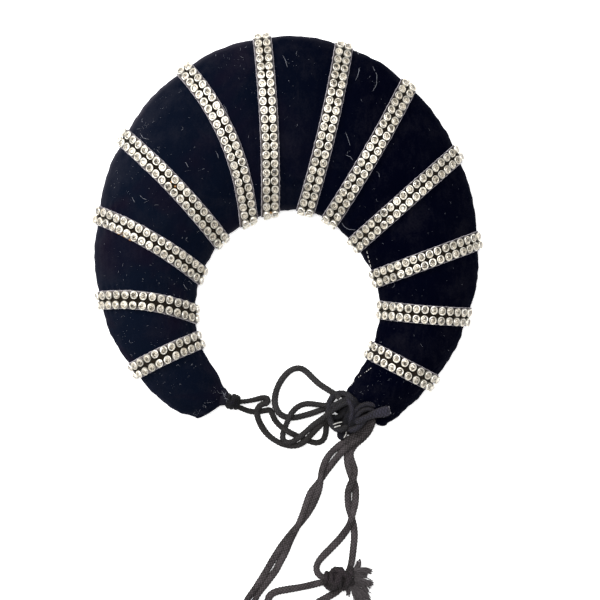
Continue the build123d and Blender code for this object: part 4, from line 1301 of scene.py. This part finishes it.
def make_end_knot(look, sizes):
    """The knot that gathers the four tails: wraps round a core of lumps, with strands slung over them."""
    parts = []
    for k, (x, radius, lean, start) in enumerate(END_WRAPS):
        middle = (x, END_KNOT_Y, END_KNOT_HEIGHT)
        line = wrap_line(middle, (1, 0.05, 0), radius, 1.2, start, lean=lean, high=0.93)
        parts.append(braided_tube(line, 2.4, 2.0, 660 + k, (1, 0.05, 0), pitch=sizes.braid_pitch, ends=0.7))
    for k, (wide, strand) in enumerate(END_STRANDS):
        line = smooth_line(on_photo(strand))
        parts.append(braided_tube(line, wide, 1.9, 670 + k, pitch=sizes.braid_pitch, ends=0.7))
    for k, (place, size, rough) in enumerate(END_LUMPS):
        parts.append(lumpy_blob(place, size, 680 + k, rough))
    points, faces, uv = joined(parts)
    # Painted shade: the end knot's cord is drawn darker than the tails
    finish = braided_cord(look, "end_knot")
    return smooth_piece("tied_end_knot", rest_on_floor(points), faces, [finish], uv=uv)


def make_tassel(look, sizes):
    """The frayed ends past the end knot. Each lock is a bundle of plies whose lines run along a
    parabola from its root over its middle to its tip, spread by a normal scatter that grows with the
    way, and wave by sines of their own."""
    lines, thick = [], []
    steps = np.linspace(0, 1, 18)[None, :, None]
    for number, (route, count, spread) in enumerate(TASSEL_LOCKS):
        root, middle, tip = on_photo(route)
        draw = np.random.default_rng(700 + number)
        along = unit(tip - root)
        side = unit(np.cross(along, [0, 0, 1]))
        up = np.cross(side, along)
        reach = np.linalg.norm(tip - root)
        turn, out = draw.uniform(0, 2 * np.pi, count), np.sqrt(draw.uniform(0, 1, count))
        first = side * (np.cos(turn) * out * 1.15)[:, None] + up * (np.sin(turn) * out * 1.05)[:, None]
        last = side * draw.normal(0, spread, count)[:, None] + up * draw.normal(0, 0.45, count)[:, None]
        last = last + along * (draw.uniform(-0.30, 0.06, count) * reach)[:, None]
        bent = root + (tip - root) * steps + (middle - (root + tip) / 2) * 4 * steps * (1 - steps)
        line = bent + first[:, None] * (1 - steps ** 2) + last[:, None] * steps ** 1.5
        wave = draw.uniform(0, 2 * np.pi, (count, 2))
        length = draw.uniform(0.7, 1.5, (count, 2))
        at = steps[0, :, 0][None, :] * reach
        sway = 0.20 * np.sin(at / length[:, :1] + wave[:, :1]) * (0.3 + steps[0, :, 0])
        bob = 0.14 * np.sin(at / length[:, 1:] + wave[:, 1:]) * (0.3 + steps[0, :, 0])
        line = line + side * sway[..., None] + up * bob[..., None]
        line[..., 2] = np.maximum(line[..., 2], 0.28)
        lines.append(line)
        thick.append(draw.uniform(0.34, 0.62, count) * sizes.ply_width / 0.4)
    points, faces, uv = loose_strands(np.concatenate(lines), np.concatenate(thick), sides=5)
    return smooth_piece("frayed_tassel", rest_on_floor(points, 0.03), faces, [frayed_yarn(look)], uv=uv)


def laid_on_velvet(plan, lift):
    """Points on the velvet's front over plan points, lifted from it, with the outward directions."""
    flat = np.asarray(plan, dtype=float).reshape(-1, 2)
    found, slope = front_height(np.concatenate([flat, np.zeros((len(flat), 1))], axis=1))
    lifted = found + slope * lift
    return lifted.reshape(np.shape(plan)[:-1] + (3,)), slope.reshape(np.shape(plan)[:-1] + (3,))


def make_lint(sizes):
    """Lint on the velvet: short curved fibres, thick in the patches where the photograph shows them and
    thin over the rest, and the few longer threads. A fibre bends by a parabola across its length."""
    draw = np.random.default_rng(740)
    count = sizes.lint_count
    station = draw.uniform(0.6, len(SECTIONS) - 1.6, count) * STATION_STEPS
    across = draw.integers(RIM_POINTS + 6, FRONT_COLUMNS - RIM_POINTS - 8, count)
    starts = [SURFACE[station.astype(int), across][:, :2]]
    for column, row, reach, number in LINT_PATCHES:
        places = np.stack([draw.normal(column, reach, number), draw.normal(row, reach, number)], axis=1)
        starts.append(on_photo(np.concatenate([places, np.zeros((number, 1))], axis=1))[:, :2])
    start = np.concatenate(starts)
    front = SURFACE[:, RIM_POINTS:FRONT_COLUMNS - RIM_POINTS, :2].reshape(-1, 2)[::7]
    gap = np.sqrt(((start[:, None] - front[None]) ** 2).sum(axis=2).min(axis=1))
    away = np.array([np.abs(band_offset(band, start)) for band in BANDS]).min(axis=0)
    kept = draw.uniform(size=len(start)) < np.clip(0.65 - start[:, 0] / 100, 0.25, 1.0)
    start = start[(away > sizes.tape_width / 2 + 0.6) & (gap < 1.0) & kept]
    count = len(start)
    share = np.linspace(-0.5, 0.5, 6)[None, :, None]
    turn = draw.uniform(0, np.pi, count)
    long = draw.uniform(size=count) < 0.06
    length = (draw.exponential(0.22, count) + 0.12 + long * draw.uniform(0.6, 2.0, count))[:, None, None]
    way = np.stack([np.cos(turn), np.sin(turn)], axis=1)[:, None, :]
    bend = np.stack([-np.sin(turn), np.cos(turn)], axis=1)[:, None, :]
    bend = bend * draw.normal(0, 0.8, count)[:, None, None]
    plan = start[:, None, :] + way * length * share + bend * length * share ** 2
    short, _ = laid_on_velvet(plan, sizes.puff + 0.12)
    thick = np.where(long, 0.075, draw.uniform(0.04, 0.10, count))
    parts = [loose_strands(short, thick)]
    for route in LONG_THREADS:
        line = on_photo(route)
        fine, _ = resampled(line, line, count=14)
        lifted, _ = laid_on_velvet(fine[:, :2], sizes.puff + 0.15)
        parts.append(loose_strands(lifted[None], np.array([0.15])))
    for route in STUMP_FIBRES:
        fine, _ = resampled(on_photo(route), on_photo(route), count=8)
        parts.append(loose_strands(fine[None], np.array([0.12])))
    points, faces, uv = joined(parts)
    return smooth_piece("lint_on_velvet", points, faces, [pale_lint()], uv=uv)


def make_stitches():
    """White hand stitches near the right inner rim and at the right tip: short round stitches in a
    row, each arched from its hole to its hole, and the threads that lie in the main knot."""
    parts = []
    arch = np.linspace(-1, 1, 7)
    for start, end, count, lift in STITCH_ROWS:
        first, last = on_photo(start + (0,)), on_photo(end + (0,))
        share = (np.arange(count)[:, None] + 0.5 + 0.32 * arch[None, :]) / count
        plan = first[:2] + (last - first)[:2] * share[..., None]
        points, slope = laid_on_velvet(plan, 0.0)
        rise = lift + 0.22 * (1 - arch ** 2)
        parts.append(loose_strands(points + slope * rise[None, :, None], np.full(count, 0.30)))
    for thick, route in KNOT_THREADS:
        line = smooth_line(on_photo(route))
        fine, _ = resampled(line, line, count=12)
        parts.append(loose_strands(fine[None], np.array([thick])))
    points, faces, uv = joined(parts)
    return smooth_piece("white_stitches", points, faces, [pale_thread()], uv=uv)


def make_glue():
    """Dried glue that has run out from under three tapes: flat uneven drops on the tape's edge."""
    parts = []
    for number, (column, row, wide, deep, lift) in enumerate(GLUE_DROPS):
        plan = on_photo((column, row, 0))[:2]
        points, slope = laid_on_velvet(plan[None], lift)
        drop = lumpy_blob((0, 0, 0), (wide, deep, 0.28), 760 + number, 0.22, 10, 18)
        z = slope[0]
        x = unit(np.cross([0, 1, 0.01], z))
        y = np.cross(z, x)
        turned = points[0] + drop[0][:, :1] * x + drop[0][:, 1:2] * y + drop[0][:, 2:] * z
        parts.append((turned, drop[1], drop[2]))
    points, faces, uv = joined(parts)
    return smooth_piece("dried_glue", points, faces, [dried_glue()], uv=uv)


def coordinates(tree, output="Object"):
    """Coordinates of a piece, from its own object space or its UV map."""
    return add_node(tree, "ShaderNodeTexCoord").outputs[output]


def split(tree, vector):
    """The x, y and z of a vector, each a socket of its own."""
    return add_node(tree, "ShaderNodeSeparateXYZ", {0: vector}).outputs


def noise(tree, vector, size, detail=3.0, roughness=0.5, warp=0.0):
    """Noise whose lumps are about the given size in millimetres on object coordinates in metres."""
    inputs = {"Vector": vector, "Scale": 1 / (size * MM), "Detail": detail}
    inputs.update({"Roughness": roughness, "Distortion": warp})
    return add_node(tree, "ShaderNodeTexNoise", inputs).outputs[0]


def maths(tree, operation, *values):
    """One arithmetic node."""
    return add_node(tree, "ShaderNodeMath", dict(enumerate(values)), operation=operation).outputs[0]


def clamped(tree, value):
    """A value kept between 0 and 1."""
    return add_node(tree, "ShaderNodeClamp", {0: value}).outputs[0]


def painted_light_from_left(tree, across):
    """Share of painted light from the left, which draws the ring's left lighter: 1 where x is -64 mm or less
    and 0 from 36 mm on. Across is x in metres."""
    return clamped(tree, maths(tree, "MULTIPLY_ADD", across, -10.0, 0.36))


def toned(colour, factor, lift=0.0):
    """A colour times a factor, lifted by a little and kept at 1 at most."""
    return tuple(min(c * factor + lift, 1) for c in colour[:3]) + (1.0,)


def mixed(tree, factor, first, second):
    """Mix of two colours."""
    node = add_node(tree, "ShaderNodeMix", {0: factor, 6: first, 7: second}, data_type="RGBA")
    return node.outputs[2]


def velvet_pile(look, worn=False):
    """Silk velvet, woven and cut. The pile swallows light from above, so it looks blue-black. Light from the
    upper left is painted into its colour: the left half is drawn lighter, and a painted sheen turns it grey
    where it is seen edge on, at the rims and in the gathers, which the object's own normal tells, most of all
    at the upper left. Patches of some millimetres, where the pile lies otherwise, are a little greyer at
    random, and purplish patches lie on the left half only. Tufts of 0.3 mm are too fine to show and are drawn
    0.7 mm wide. Worn pile is greyer."""
    name = "velvet_pile_worn" if worn else "velvet_pile"
    if name in MATERIALS:
        return MATERIALS[name]
    material, tree, shader = new_material(name)
    place = coordinates(tree)
    patches = noise(tree, place, 11, 2.0, 0.5, 0.6)
    tufts = noise(tree, place, 0.7, 3.0, 0.7)
    brushed = add_node(tree, "ShaderNodeMapping", {"Vector": place, "Scale": (1.0, 0.35, 1.0)}).outputs[0]
    streaks = noise(tree, brushed, 3.2, 3.0, 0.6, 1.2)
    across, down_frame = split(tree, place)[:2]
    # Painted light from the left: the share of the ring's left half, whose pile is drawn lighter
    left = painted_light_from_left(tree, across)
    up = split(tree, coordinates(tree, "Normal"))[2]
    # Painted sheen: grey where the object's normal turns away from up, at the rims and in the gathers
    edge_on = clamped(tree, maths(tree, "SUBTRACT", 1.0, up))
    edge_on = maths(tree, "POWER", edge_on, 1.9)
    lean = maths(tree, "MULTIPLY_ADD", patches, 0.8, maths(tree, "MULTIPLY", streaks, 0.5))
    lean = maths(tree, "ADD", maths(tree, "MULTIPLY_ADD", tufts, 0.7, lean), -0.97)
    # Painted light: the left half takes the lighter pile colour
    pile = mixed(tree, left, look.velvet, look.velvet_left_painted_light)
    # Purplish patches of noise, on the left half only
    purplish_left_patches = maths(tree, "MULTIPLY_ADD", noise(tree, place, 26, 2.0, 0.5, 0.8), 4.0, -2.0)
    purplish_left_patches = clamped(tree, purplish_left_patches)
    pile = mixed(tree, maths(tree, "MULTIPLY", purplish_left_patches, left), pile, look.velvet_worn)
    # Painted sheen at the rims, strongest at the ring's upper left
    top = clamped(tree, maths(tree, "MULTIPLY_ADD", down_frame, 9.0, 0.50))
    grey_pile_and_painted_sheen = maths(tree, "MULTIPLY_ADD", maths(tree, "MULTIPLY", left, top), 1.15, 0.06)
    grey_pile_and_painted_sheen = maths(tree, "MULTIPLY", edge_on, grey_pile_and_painted_sheen)
    share = maths(tree, "MULTIPLY_ADD", lean, 0.13, maths(tree, "ADD", grey_pile_and_painted_sheen, 0.10 if worn else 0.0))
    share = clamped(tree, share)
    tree.links.new(mixed(tree, share, pile, look.grey_pile_and_painted_sheen), shader.inputs["Base Color"])
    set_inputs(shader, Roughness=1.0, Sheen_Weight=0.07, Sheen_Roughness=0.32, Sheen_Tint=shade("#4a5596"))
    set_inputs(shader, Specular_IOR_Level=0.02)
    bump(tree, shader, maths(tree, "ADD", tufts, maths(tree, "MULTIPLY", streaks, 0.8)), 0.35, 0.8)
    return material


def knitted_tape(look):
    """Nylon net tape, knitted. The open net between the stones lets the velvet show through, so it is dark
    brown, and greyer beyond 2.2 mm from the middle. That grey border is drawn lighter on the ring's left, a
    painted light from the left. The firm selvages, beyond 3.62 mm, are grey. The net's meshes of 0.5 mm are
    drawn 0.9 mm wide and the selvage's courses 0.6 mm apart."""
    name = "knitted_net_tape"
    if name in MATERIALS:
        return MATERIALS[name]
    material, tree, shader = new_material(name)
    across, along = split(tree, coordinates(tree, "UV"))[:2]
    both = maths(tree, "ADD", across, along)
    apart = maths(tree, "SUBTRACT", across, along)
    mesh = math.pi / 0.9
    first = maths(tree, "ABSOLUTE", maths(tree, "SINE", maths(tree, "MULTIPLY", both, mesh)))
    second = maths(tree, "ABSOLUTE", maths(tree, "SINE", maths(tree, "MULTIPLY", apart, mesh)))
    open_net = maths(tree, "MINIMUM", first, second)
    courses = maths(tree, "SINE", maths(tree, "MULTIPLY", along, 2 * math.pi / 0.6))
    wobble = noise(tree, coordinates(tree), 1.6, 3.0, 0.6)
    soil = noise(tree, coordinates(tree), 7, 2.0)
    net = ramp(tree, open_net, [(0.05, "#3a2f22"), (0.22, "#1c140c"), (0.5, "#0a0704")])
    course_shade = maths(tree, "MULTIPLY_ADD", courses, 0.18, wobble)
    edge = ramp(tree, course_shade, [(0.30, "#57535c"), (0.58, "#cac4ca")])
    from_middle = maths(tree, "ABSOLUTE", across)
    edge_share = maths(tree, "MULTIPLY", maths(tree, "SUBTRACT", from_middle, 3.62), 6.0)
    edge_share = clamped(tree, edge_share)
    ring_x = split(tree, coordinates(tree))[0]
    # Painted light from the left: the border is drawn lighter grey on the ring's left half
    left = painted_light_from_left(tree, ring_x)
    border = mixed(tree, left, shade("#2e2a29"), shade("#6e6866"))
    border_share = maths(tree, "MULTIPLY", maths(tree, "SUBTRACT", from_middle, 2.2), 0.9)
    border_share = clamped(tree, border_share)
    net = mixed(tree, border_share, net, border)
    plain = mixed(tree, edge_share, net, edge)
    soiled = maths(tree, "MULTIPLY", maths(tree, "SUBTRACT", soil, 0.55), 2.2)
    soiled = clamped(tree, soiled)
    soiled = maths(tree, "MULTIPLY", soiled, 0.22)
    tree.links.new(mixed(tree, soiled, plain, look.tape), shader.inputs["Base Color"])
    set_inputs(shader, Roughness=0.8, Sheen_Weight=0.04, Sheen_Roughness=0.5, Specular_IOR_Level=0.12)
    height = maths(tree, "SUBTRACT", maths(tree, "MULTIPLY", courses, 0.3), open_net)
    bump(tree, shader, maths(tree, "ADD", height, wobble), 0.22, 0.9)
    return material


def plated_cup(look):
    """Stamped brass cups, silver plated. They mirror the bright studio as a cream-white ring, duller and
    yellower in patches where the plating is worn."""
    name = "silver_plated_brass_cup"
    if name in MATERIALS:
        return MATERIALS[name]
    material, tree, shader = new_material(name)
    place = coordinates(tree)
    worn = noise(tree, place, 2.4, 3.0, 0.6)
    fine = noise(tree, place, 0.35, 2.0)
    warm = tuple(c * k for c, k in zip(look.cup[:3], (0.74, 0.68, 0.58))) + (1.0,)
    share = maths(tree, "MULTIPLY", maths(tree, "SUBTRACT", worn, 0.50), 3.4)
    share = clamped(tree, share)
    tree.links.new(mixed(tree, share, look.cup, warm), shader.inputs["Base Color"])
    rough = maths(tree, "MULTIPLY_ADD", fine, 0.20, 0.34)
    tree.links.new(rough, shader.inputs["Roughness"])
    set_inputs(shader, Metallic=1.0)
    bump(tree, shader, fine, 0.05, 0.5)
    return material


def foiled_glass(look):
    """Pressed and polished glass with a silvered foil back. Facet by facet it shows either the bright
    studio or the dark inside of its cup, so it is drawn light, grey-beige or near black by facet, with
    a hard gloss over all."""
    name = "foiled_cut_glass"
    if name in MATERIALS:
        return MATERIALS[name]
    material, tree, shader = new_material(name)
    glint = add_node(tree, "ShaderNodeAttribute", attribute_name="glint").outputs["Fac"]
    cloud = noise(tree, coordinates(tree), 0.5, 2.0, 0.5, 0.8)
    share = maths(tree, "ADD", glint, maths(tree, "MULTIPLY", maths(tree, "SUBTRACT", cloud, 0.5), 0.55))
    stops = [(0.06, "#332f28"), (0.24, "#777166"), (0.44, "#a8a297"), (0.66, "#d2ccc1"), (0.86, "#fffdf8")]
    colour = ramp(tree, share, stops)
    tinted = mixed(tree, 1.0, colour, look.stone)
    tinted.node.blend_type = "MULTIPLY"
    tree.links.new(tinted, shader.inputs["Base Color"])
    set_inputs(shader, Roughness=0.08, IOR=1.58, Coat_Weight=0.6, Coat_Roughness=0.03)
    return material


def braided_cord(look, kind):
    """Polyester cord, braided. Grey-black and dull, browner on the tails, and darker in the knots, which is a
    painted shade. The grooves between plaits are painted near black as shade and their ridges lighter as
    painted light, and patches are lighter where fibres are rubbed up. Light from above is painted in too: the
    top is lighter and the flanks darker, which the object's own normal tells. Filaments of 0.02 mm are drawn
    0.25 mm apart."""
    name = f"braided_polyester_{kind}"
    if name in MATERIALS:
        return MATERIALS[name]
    material, tree, shader = new_material(name)
    base = getattr(look, f"{kind}_cord")
    around, along = split(tree, coordinates(tree, "UV"))[:2]
    turns = maths(tree, "MULTIPLY", around, PLAITS / 2)
    one = maths(tree, "SINE", maths(tree, "MULTIPLY", maths(tree, "ADD", turns, along), math.pi))
    other = maths(tree, "SINE", maths(tree, "MULTIPLY", maths(tree, "SUBTRACT", turns, along), math.pi))
    plait = maths(tree, "ABSOLUTE", maths(tree, "MULTIPLY", one, other))
    slant = maths(tree, "MULTIPLY_ADD", turns, 38.0, maths(tree, "MULTIPLY", along, 30.0))
    filament = maths(tree, "SINE", slant)
    place = coordinates(tree)
    rubbed = noise(tree, place, 1.5, 4.0, 0.7)
    faded = noise(tree, place, 9, 2.0)
    # Shaded and lit tones of the cord, mixed below by painted shade and light, rubbed wear and fading
    dark, light = toned(base, 0.12), toned(base, 3.6, 0.006)
    share = maths(tree, "MULTIPLY_ADD", filament, 0.08, rubbed)
    # Painted shade in the grooves between plaits and painted light on their ridges
    share = maths(tree, "MULTIPLY_ADD", plait, 0.60, share)
    share = maths(tree, "ADD", share, maths(tree, "MULTIPLY", maths(tree, "SUBTRACT", faded, 1.05), 0.9))
    # Painted light from above: lighter on top, darker on the flanks
    up = split(tree, coordinates(tree, "Normal"))[2]
    share = maths(tree, "ADD", share, maths(tree, "MULTIPLY_ADD", up, 0.75, -0.52))
    share = clamped(tree, share)
    tree.links.new(mixed(tree, share, dark, light), shader.inputs["Base Color"])
    set_inputs(shader, Roughness=0.88, Specular_IOR_Level=0.25)
    sheen = 0.05 if kind == "knot" else 0.14
    set_inputs(shader, Sheen_Weight=sheen, Sheen_Roughness=0.45, Sheen_Tint=shade("#8d857c"))
    bump(tree, shader, maths(tree, "ADD", maths(tree, "MULTIPLY", filament, 0.4), rubbed), 0.45, 0.9)
    return material


def frayed_yarn(look):
    """Unbraided polyester plies: the tail cord's colour, softer, with lighter rubbed filaments."""
    name = "frayed_polyester_yarn"
    if name in MATERIALS:
        return MATERIALS[name]
    material, tree, shader = new_material(name)
    rubbed = noise(tree, coordinates(tree), 0.6, 4.0, 0.7)
    dark, light = toned(look.tail_cord, 0.35), toned(look.tail_cord, 1.9, 0.003)
    share = maths(tree, "MULTIPLY", maths(tree, "SUBTRACT", rubbed, 0.32), 2.2)
    share = clamped(tree, share)
    tree.links.new(mixed(tree, share, dark, light), shader.inputs["Base Color"])
    set_inputs(shader, Roughness=0.9, Sheen_Weight=0.16, Sheen_Roughness=0.5, Sheen_Tint=shade("#968c84"))
    bump(tree, shader, rubbed, 0.10, 0.6)
    return material


def thread_material(name, dark, light, roughness):
    """A matt fibre whose colour varies along it."""
    if name in MATERIALS:
        return MATERIALS[name]
    material, tree, shader = new_material(name)
    share = noise(tree, coordinates(tree), 0.9, 3.0, 0.6)
    tree.links.new(ramp(tree, share, [(0.35, dark), (0.65, light)]), shader.inputs["Base Color"])
    set_inputs(shader, Roughness=roughness, Sheen_Weight=0.2, Sheen_Tint=shade("#ffffff"))
    return material


def pale_thread():
    """White sewing cotton, spun: matt and slightly grey where it is soiled."""
    return thread_material("white_sewing_cotton", "#8e8c8a", "#d9d6d0", 0.8)


def pale_lint():
    """Cotton lint caught in the pile: grey specks, dimmed by the pile they have sunk into."""
    return thread_material("cotton_lint", "#31343f", "#8a8d98", 0.9)


def cut_fibre():
    """Cut ends of the cord's polyester filaments: grey and matt."""
    return thread_material("cut_polyester_fibre", "#4d4b50", "#a9a6ae", 0.9)


def dried_glue():
    """Hot glue, set: amber and half clear, with a waxy gloss, darker where it is thick."""
    name = "dried_amber_glue"
    if name in MATERIALS:
        return MATERIALS[name]
    material, tree, shader = new_material(name)
    thick = noise(tree, coordinates(tree), 0.9, 2.0, 0.6)
    tree.links.new(ramp(tree, thick, [(0.35, "#5a3a1c"), (0.65, "#b98a52")]), shader.inputs["Base Color"])
    set_inputs(shader, Roughness=0.35, IOR=1.48, Subsurface_Weight=0.15, Subsurface_Scale=0.0006)
    bump(tree, shader, thick, 0.15, 0.6)
    return material


def paper_floor(look):
    """White studio paper: matt, with a grain too fine to see and a faint unevenness."""
    name = "white_studio_paper"
    if name in MATERIALS:
        return MATERIALS[name]
    material, tree, shader = new_material(name)
    grain = noise(tree, coordinates(tree), 1.2, 3.0)
    dimmed = toned(look.floor, 0.985)
    tree.links.new(mixed(tree, grain, dimmed, look.floor), shader.inputs["Base Color"])
    set_inputs(shader, Roughness=0.95, Specular_IOR_Level=0.1)
    set_inputs(shader, Emission_Color=shade("#ffffff"), Emission_Strength=0.5)
    return material


def length_property(title, text, default, low, high):
    """A length in millimetres, shown in the panel as a plain number."""
    text = text + ", in millimetres"
    return FloatProperty(name=title, description=text, default=default, min=low, max=high)


def colour_property(title, text, code):
    """A colour chosen in the panel, from an sRGB hex code."""
    return FloatVectorProperty(
        name=title, description=text, subtype="COLOR", size=4, min=0.0, max=1.0, default=shade(code)
    )


class RingSizes(bpy.types.PropertyGroup):
    puff: length_property("Puff", "How far the velvet stands out between the tapes", 0.45, 0.0, 2.0)
    press: length_property("Press", "How far the tapes press the velvet in", 0.12, 0.0, 0.5)
    seam_height: length_property("Seam height", "Height of the seam near the back", 1.9, 1.0, 3.0)
    seam_depth: length_property("Seam depth", "Depth of the seam near the back", 0.45, 0.0, 1.0)
    tape_width: length_property("Tape width", "Width of the net tape", 7.8, 7.0, 9.5)
    stone_pitch: length_property("Stone pitch", "Distance of stones along a tape", 3.8, 3.5, 4.5)
    cup_width: length_property("Cup width", "Width of one claw cup", 3.45, 3.0, 3.8)
    braid_pitch: length_property("Braid pitch", "Length of one plait of the cords", 1.4, 0.8, 2.5)
    ply_width: length_property("Ply width", "Thickness of the tassel's plies", 0.4, 0.25, 0.6)
    unevenness: FloatProperty(
        name="Unevenness", description="How far hand-set stones tip and turn", default=0.04, min=0.0, max=0.15
    )
    lint_count: IntProperty(
        name="Lint", description="How many loose specks of lint are tried", default=1300, min=0, max=3000
    )


class RingColours(bpy.types.PropertyGroup):
    velvet: colour_property("Velvet", "Colour of the pile", "#00010b")
    # Painted light from the left: the pile of the left half is drawn lighter
    velvet_left_painted_light: colour_property("Velvet, left half", "Colour of the pile on the left half", "#070d1a")
    velvet_worn: colour_property("Velvet, worn", "Colour of rubbed patches of the pile", "#0e0a17")
    # Painted sheen: the grey that the rims are drawn towards, also the grey of random patches and of worn
    # pile
    grey_pile_and_painted_sheen: colour_property("Bloom", "Colour of the pile where it is seen edge on", "#504d54")
    tape: colour_property("Tape soil", "Colour of soiled patches on the tapes", "#5c4a33")
    cup: colour_property("Cups", "Colour of the plated cups", "#eeeae0")
    stone: colour_property("Stones", "Tint of the cut stones", "#f2ede3")
    tie_cord: colour_property("Tie cord", "Colour of the two ties", "#1d1c1d")
    bow_cord: colour_property("Bow", "Colour of the bow", "#262527")
    ring_cord: colour_property("Knot's ring", "Colour of the ring of the main knot", "#1d1d23")
    tail_cord: colour_property("Tail cord", "Colour of the tails and the tassel", "#3a3537")
    # Painted shade: the cord deep in the knots is drawn near black
    knot_cord: colour_property("Knots", "Colour of the cord deep in the knots", "#050510")
    # Painted shade: the end knot's cord is drawn darker than the tails
    end_knot_cord: colour_property("End knot", "Colour of the cord in the end knot", "#231c21")
    soiled_cord: colour_property("Soiled cord", "Colour of the cord on top of the main knot", "#1f1e2a")
    floor: colour_property("Floor", "Colour of the studio paper", "#ffffff")


class BuildPadding(bpy.types.Operator):
    """Build the padded velvet crescent"""

    bl_idname = "hair_ring.padding"
    bl_label = "Velvet padding"

    def execute(self, context):
        scene = context.scene
        piece = make_velvet(scene.ring_sizes, scene.ring_colours)
        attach(piece, ROOT)
        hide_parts("velvet_ring")
        return {"FINISHED"}


class BuildTapes(bpy.types.Operator):
    """Build the twelve net tapes"""

    bl_idname = "hair_ring.tapes"
    bl_label = "Net tapes"

    def execute(self, context):
        scene = context.scene
        for number in range(len(BANDS)):
            piece = make_tape(number, scene.ring_sizes, scene.ring_colours)
            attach(piece, ROOT)
            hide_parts(f"band_tape_{number + 1:02d}")
        return {"FINISHED"}


class BuildStones(bpy.types.Operator):
    """Build the cups and the cut stones of every tape"""

    bl_idname = "hair_ring.stones"
    bl_label = "Stones in cups"

    def execute(self, context):
        scene = context.scene
        for number in range(len(BANDS)):
            cups, stones = make_stones(number, scene.ring_sizes, scene.ring_colours)
            for piece in (cups, stones):
                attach(piece, ROOT)
            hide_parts(f"band_stones_{number + 1:02d}")
        return {"FINISHED"}


class BuildCords(bpy.types.Operator):
    """Build the ties, the bow and the four tails"""

    bl_idname = "hair_ring.cords"
    bl_label = "Tie cords"

    def execute(self, context):
        scene = context.scene
        for name in CORDS:
            piece, line, length = make_cord(name, scene.ring_colours, scene.ring_sizes)
            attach(piece, ROOT)
            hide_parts(name)
        return {"FINISHED"}


class BuildKnots(bpy.types.Operator):
    """Build the left, main and end knots with the cut end, the gathered cloth and the tassel"""

    bl_idname = "hair_ring.knots"
    bl_label = "Knots and tassel"

    def execute(self, context):
        look = context.scene.ring_colours
        sizes = context.scene.ring_sizes
        left = make_left_knot(look, sizes)
        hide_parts("left_knot")
        main_knot = make_main_knot(look, sizes)
        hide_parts("main_knot")
        end = make_end_knot(look, sizes)
        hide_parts("end_knot")
        tassel = make_tassel(look, sizes)
        cut, fibres = make_cut_end(look)
        for piece in (left, main_knot, end, tassel, cut, fibres):
            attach(piece, ROOT)
        for cloth in (make_cloth_stump(look), make_tip_fold(look)):
            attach(cloth, ROOT)
        return {"FINISHED"}


class BuildTraces(bpy.types.Operator):
    """Build the stitches, the lint and the dried glue"""

    bl_idname = "hair_ring.traces"
    bl_label = "Stitches, lint and glue"

    def execute(self, context):
        for piece, slot in (
            (make_lint(context.scene.ring_sizes), "velvet"),
            (make_stitches(), "braided_cord"),
            (make_glue(), "net_tape"),
        ):
            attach(piece, ROOT)
        return {"FINISHED"}


class BuildStage(bpy.types.Operator):
    """Build the paper floor, the lights and the camera above the ring"""

    bl_idname = "hair_ring.stage"
    bl_label = "Stage"

    def execute(self, context):
        scene = context.scene
        ways = ((-1, -1), (1, -1), (1, 1), (-1, 1))
        corners = [(x * FLOOR_HALF, y * FLOOR_HALF, -FLOOR_DROP) for x, y in ways]
        floor = mesh_object("paper", corners, [(0, 1, 2, 3)], [paper_floor(scene.ring_colours)])
        for name, place, aim, size, power in SOFT_LIGHTS:
            lamp = bpy.data.lights.new(name, "AREA")
            lamp.shape = "DISK"
            lamp.size = size
            lamp.energy = power
            holder = bpy.data.objects.new(name, lamp)
            scene.collection.objects.link(holder)
            holder.location = place
            way = Vector(aim) - Vector(place)
            holder.rotation_euler = way.to_track_quat("-Z", "Y").to_euler()
        world = bpy.data.worlds.new("studio")
        scene.world = world
        world.use_nodes = True
        back = world.node_tree.nodes["Background"]
        back.inputs[0].default_value = shade("#ffffff")
        back.inputs[1].default_value = WORLD_STRENGTH
        camera_data = bpy.data.cameras.new("camera_above")
        camera_data.lens = LENS
        camera_data.sensor_width = 36
        camera_data.clip_end = 10
        camera = bpy.data.objects.new("camera_above", camera_data)
        scene.collection.objects.link(camera)
        camera.location = CAMERA_PLACE
        scene.camera = camera
        scene.view_settings.view_transform = "Standard"
        return {"FINISHED"}


class RingPanel(bpy.types.Panel):
    """Sizes, colours and build steps of the hair ring"""

    bl_idname = "VIEW3D_PT_hair_ring"
    bl_label = "Hair ring"
    bl_space_type = "VIEW_3D"
    bl_region_type = "UI"
    bl_category = "Hair ring"

    def draw(self, context):
        layout = self.layout
        for group in (context.scene.ring_sizes, context.scene.ring_colours):
            box = layout.box()
            for key in group.__annotations__:
                box.prop(group, key)
        for operator in OPERATORS:
            layout.operator(operator.bl_idname)


OPERATORS = (BuildPadding, BuildTapes, BuildStones, BuildCords, BuildKnots, BuildTraces, BuildStage)
CLASSES = (RingSizes, RingColours) + OPERATORS + (RingPanel,)


def register():
    for kind in CLASSES:
        bpy.utils.register_class(kind)
    bpy.types.Scene.ring_sizes = PointerProperty(type=RingSizes)
    bpy.types.Scene.ring_colours = PointerProperty(type=RingColours)


def unregister():
    del bpy.types.Scene.ring_colours
    del bpy.types.Scene.ring_sizes
    for kind in reversed(CLASSES):
        bpy.utils.unregister_class(kind)


def main():
    register()
    bpy.ops.hair_ring.padding()
    bpy.ops.hair_ring.tapes()
    bpy.ops.hair_ring.stones()
    bpy.ops.hair_ring.cords()
    bpy.ops.hair_ring.knots()
    bpy.ops.hair_ring.traces()
    bpy.ops.hair_ring.stage()


if __name__ == "__main__":
    main()
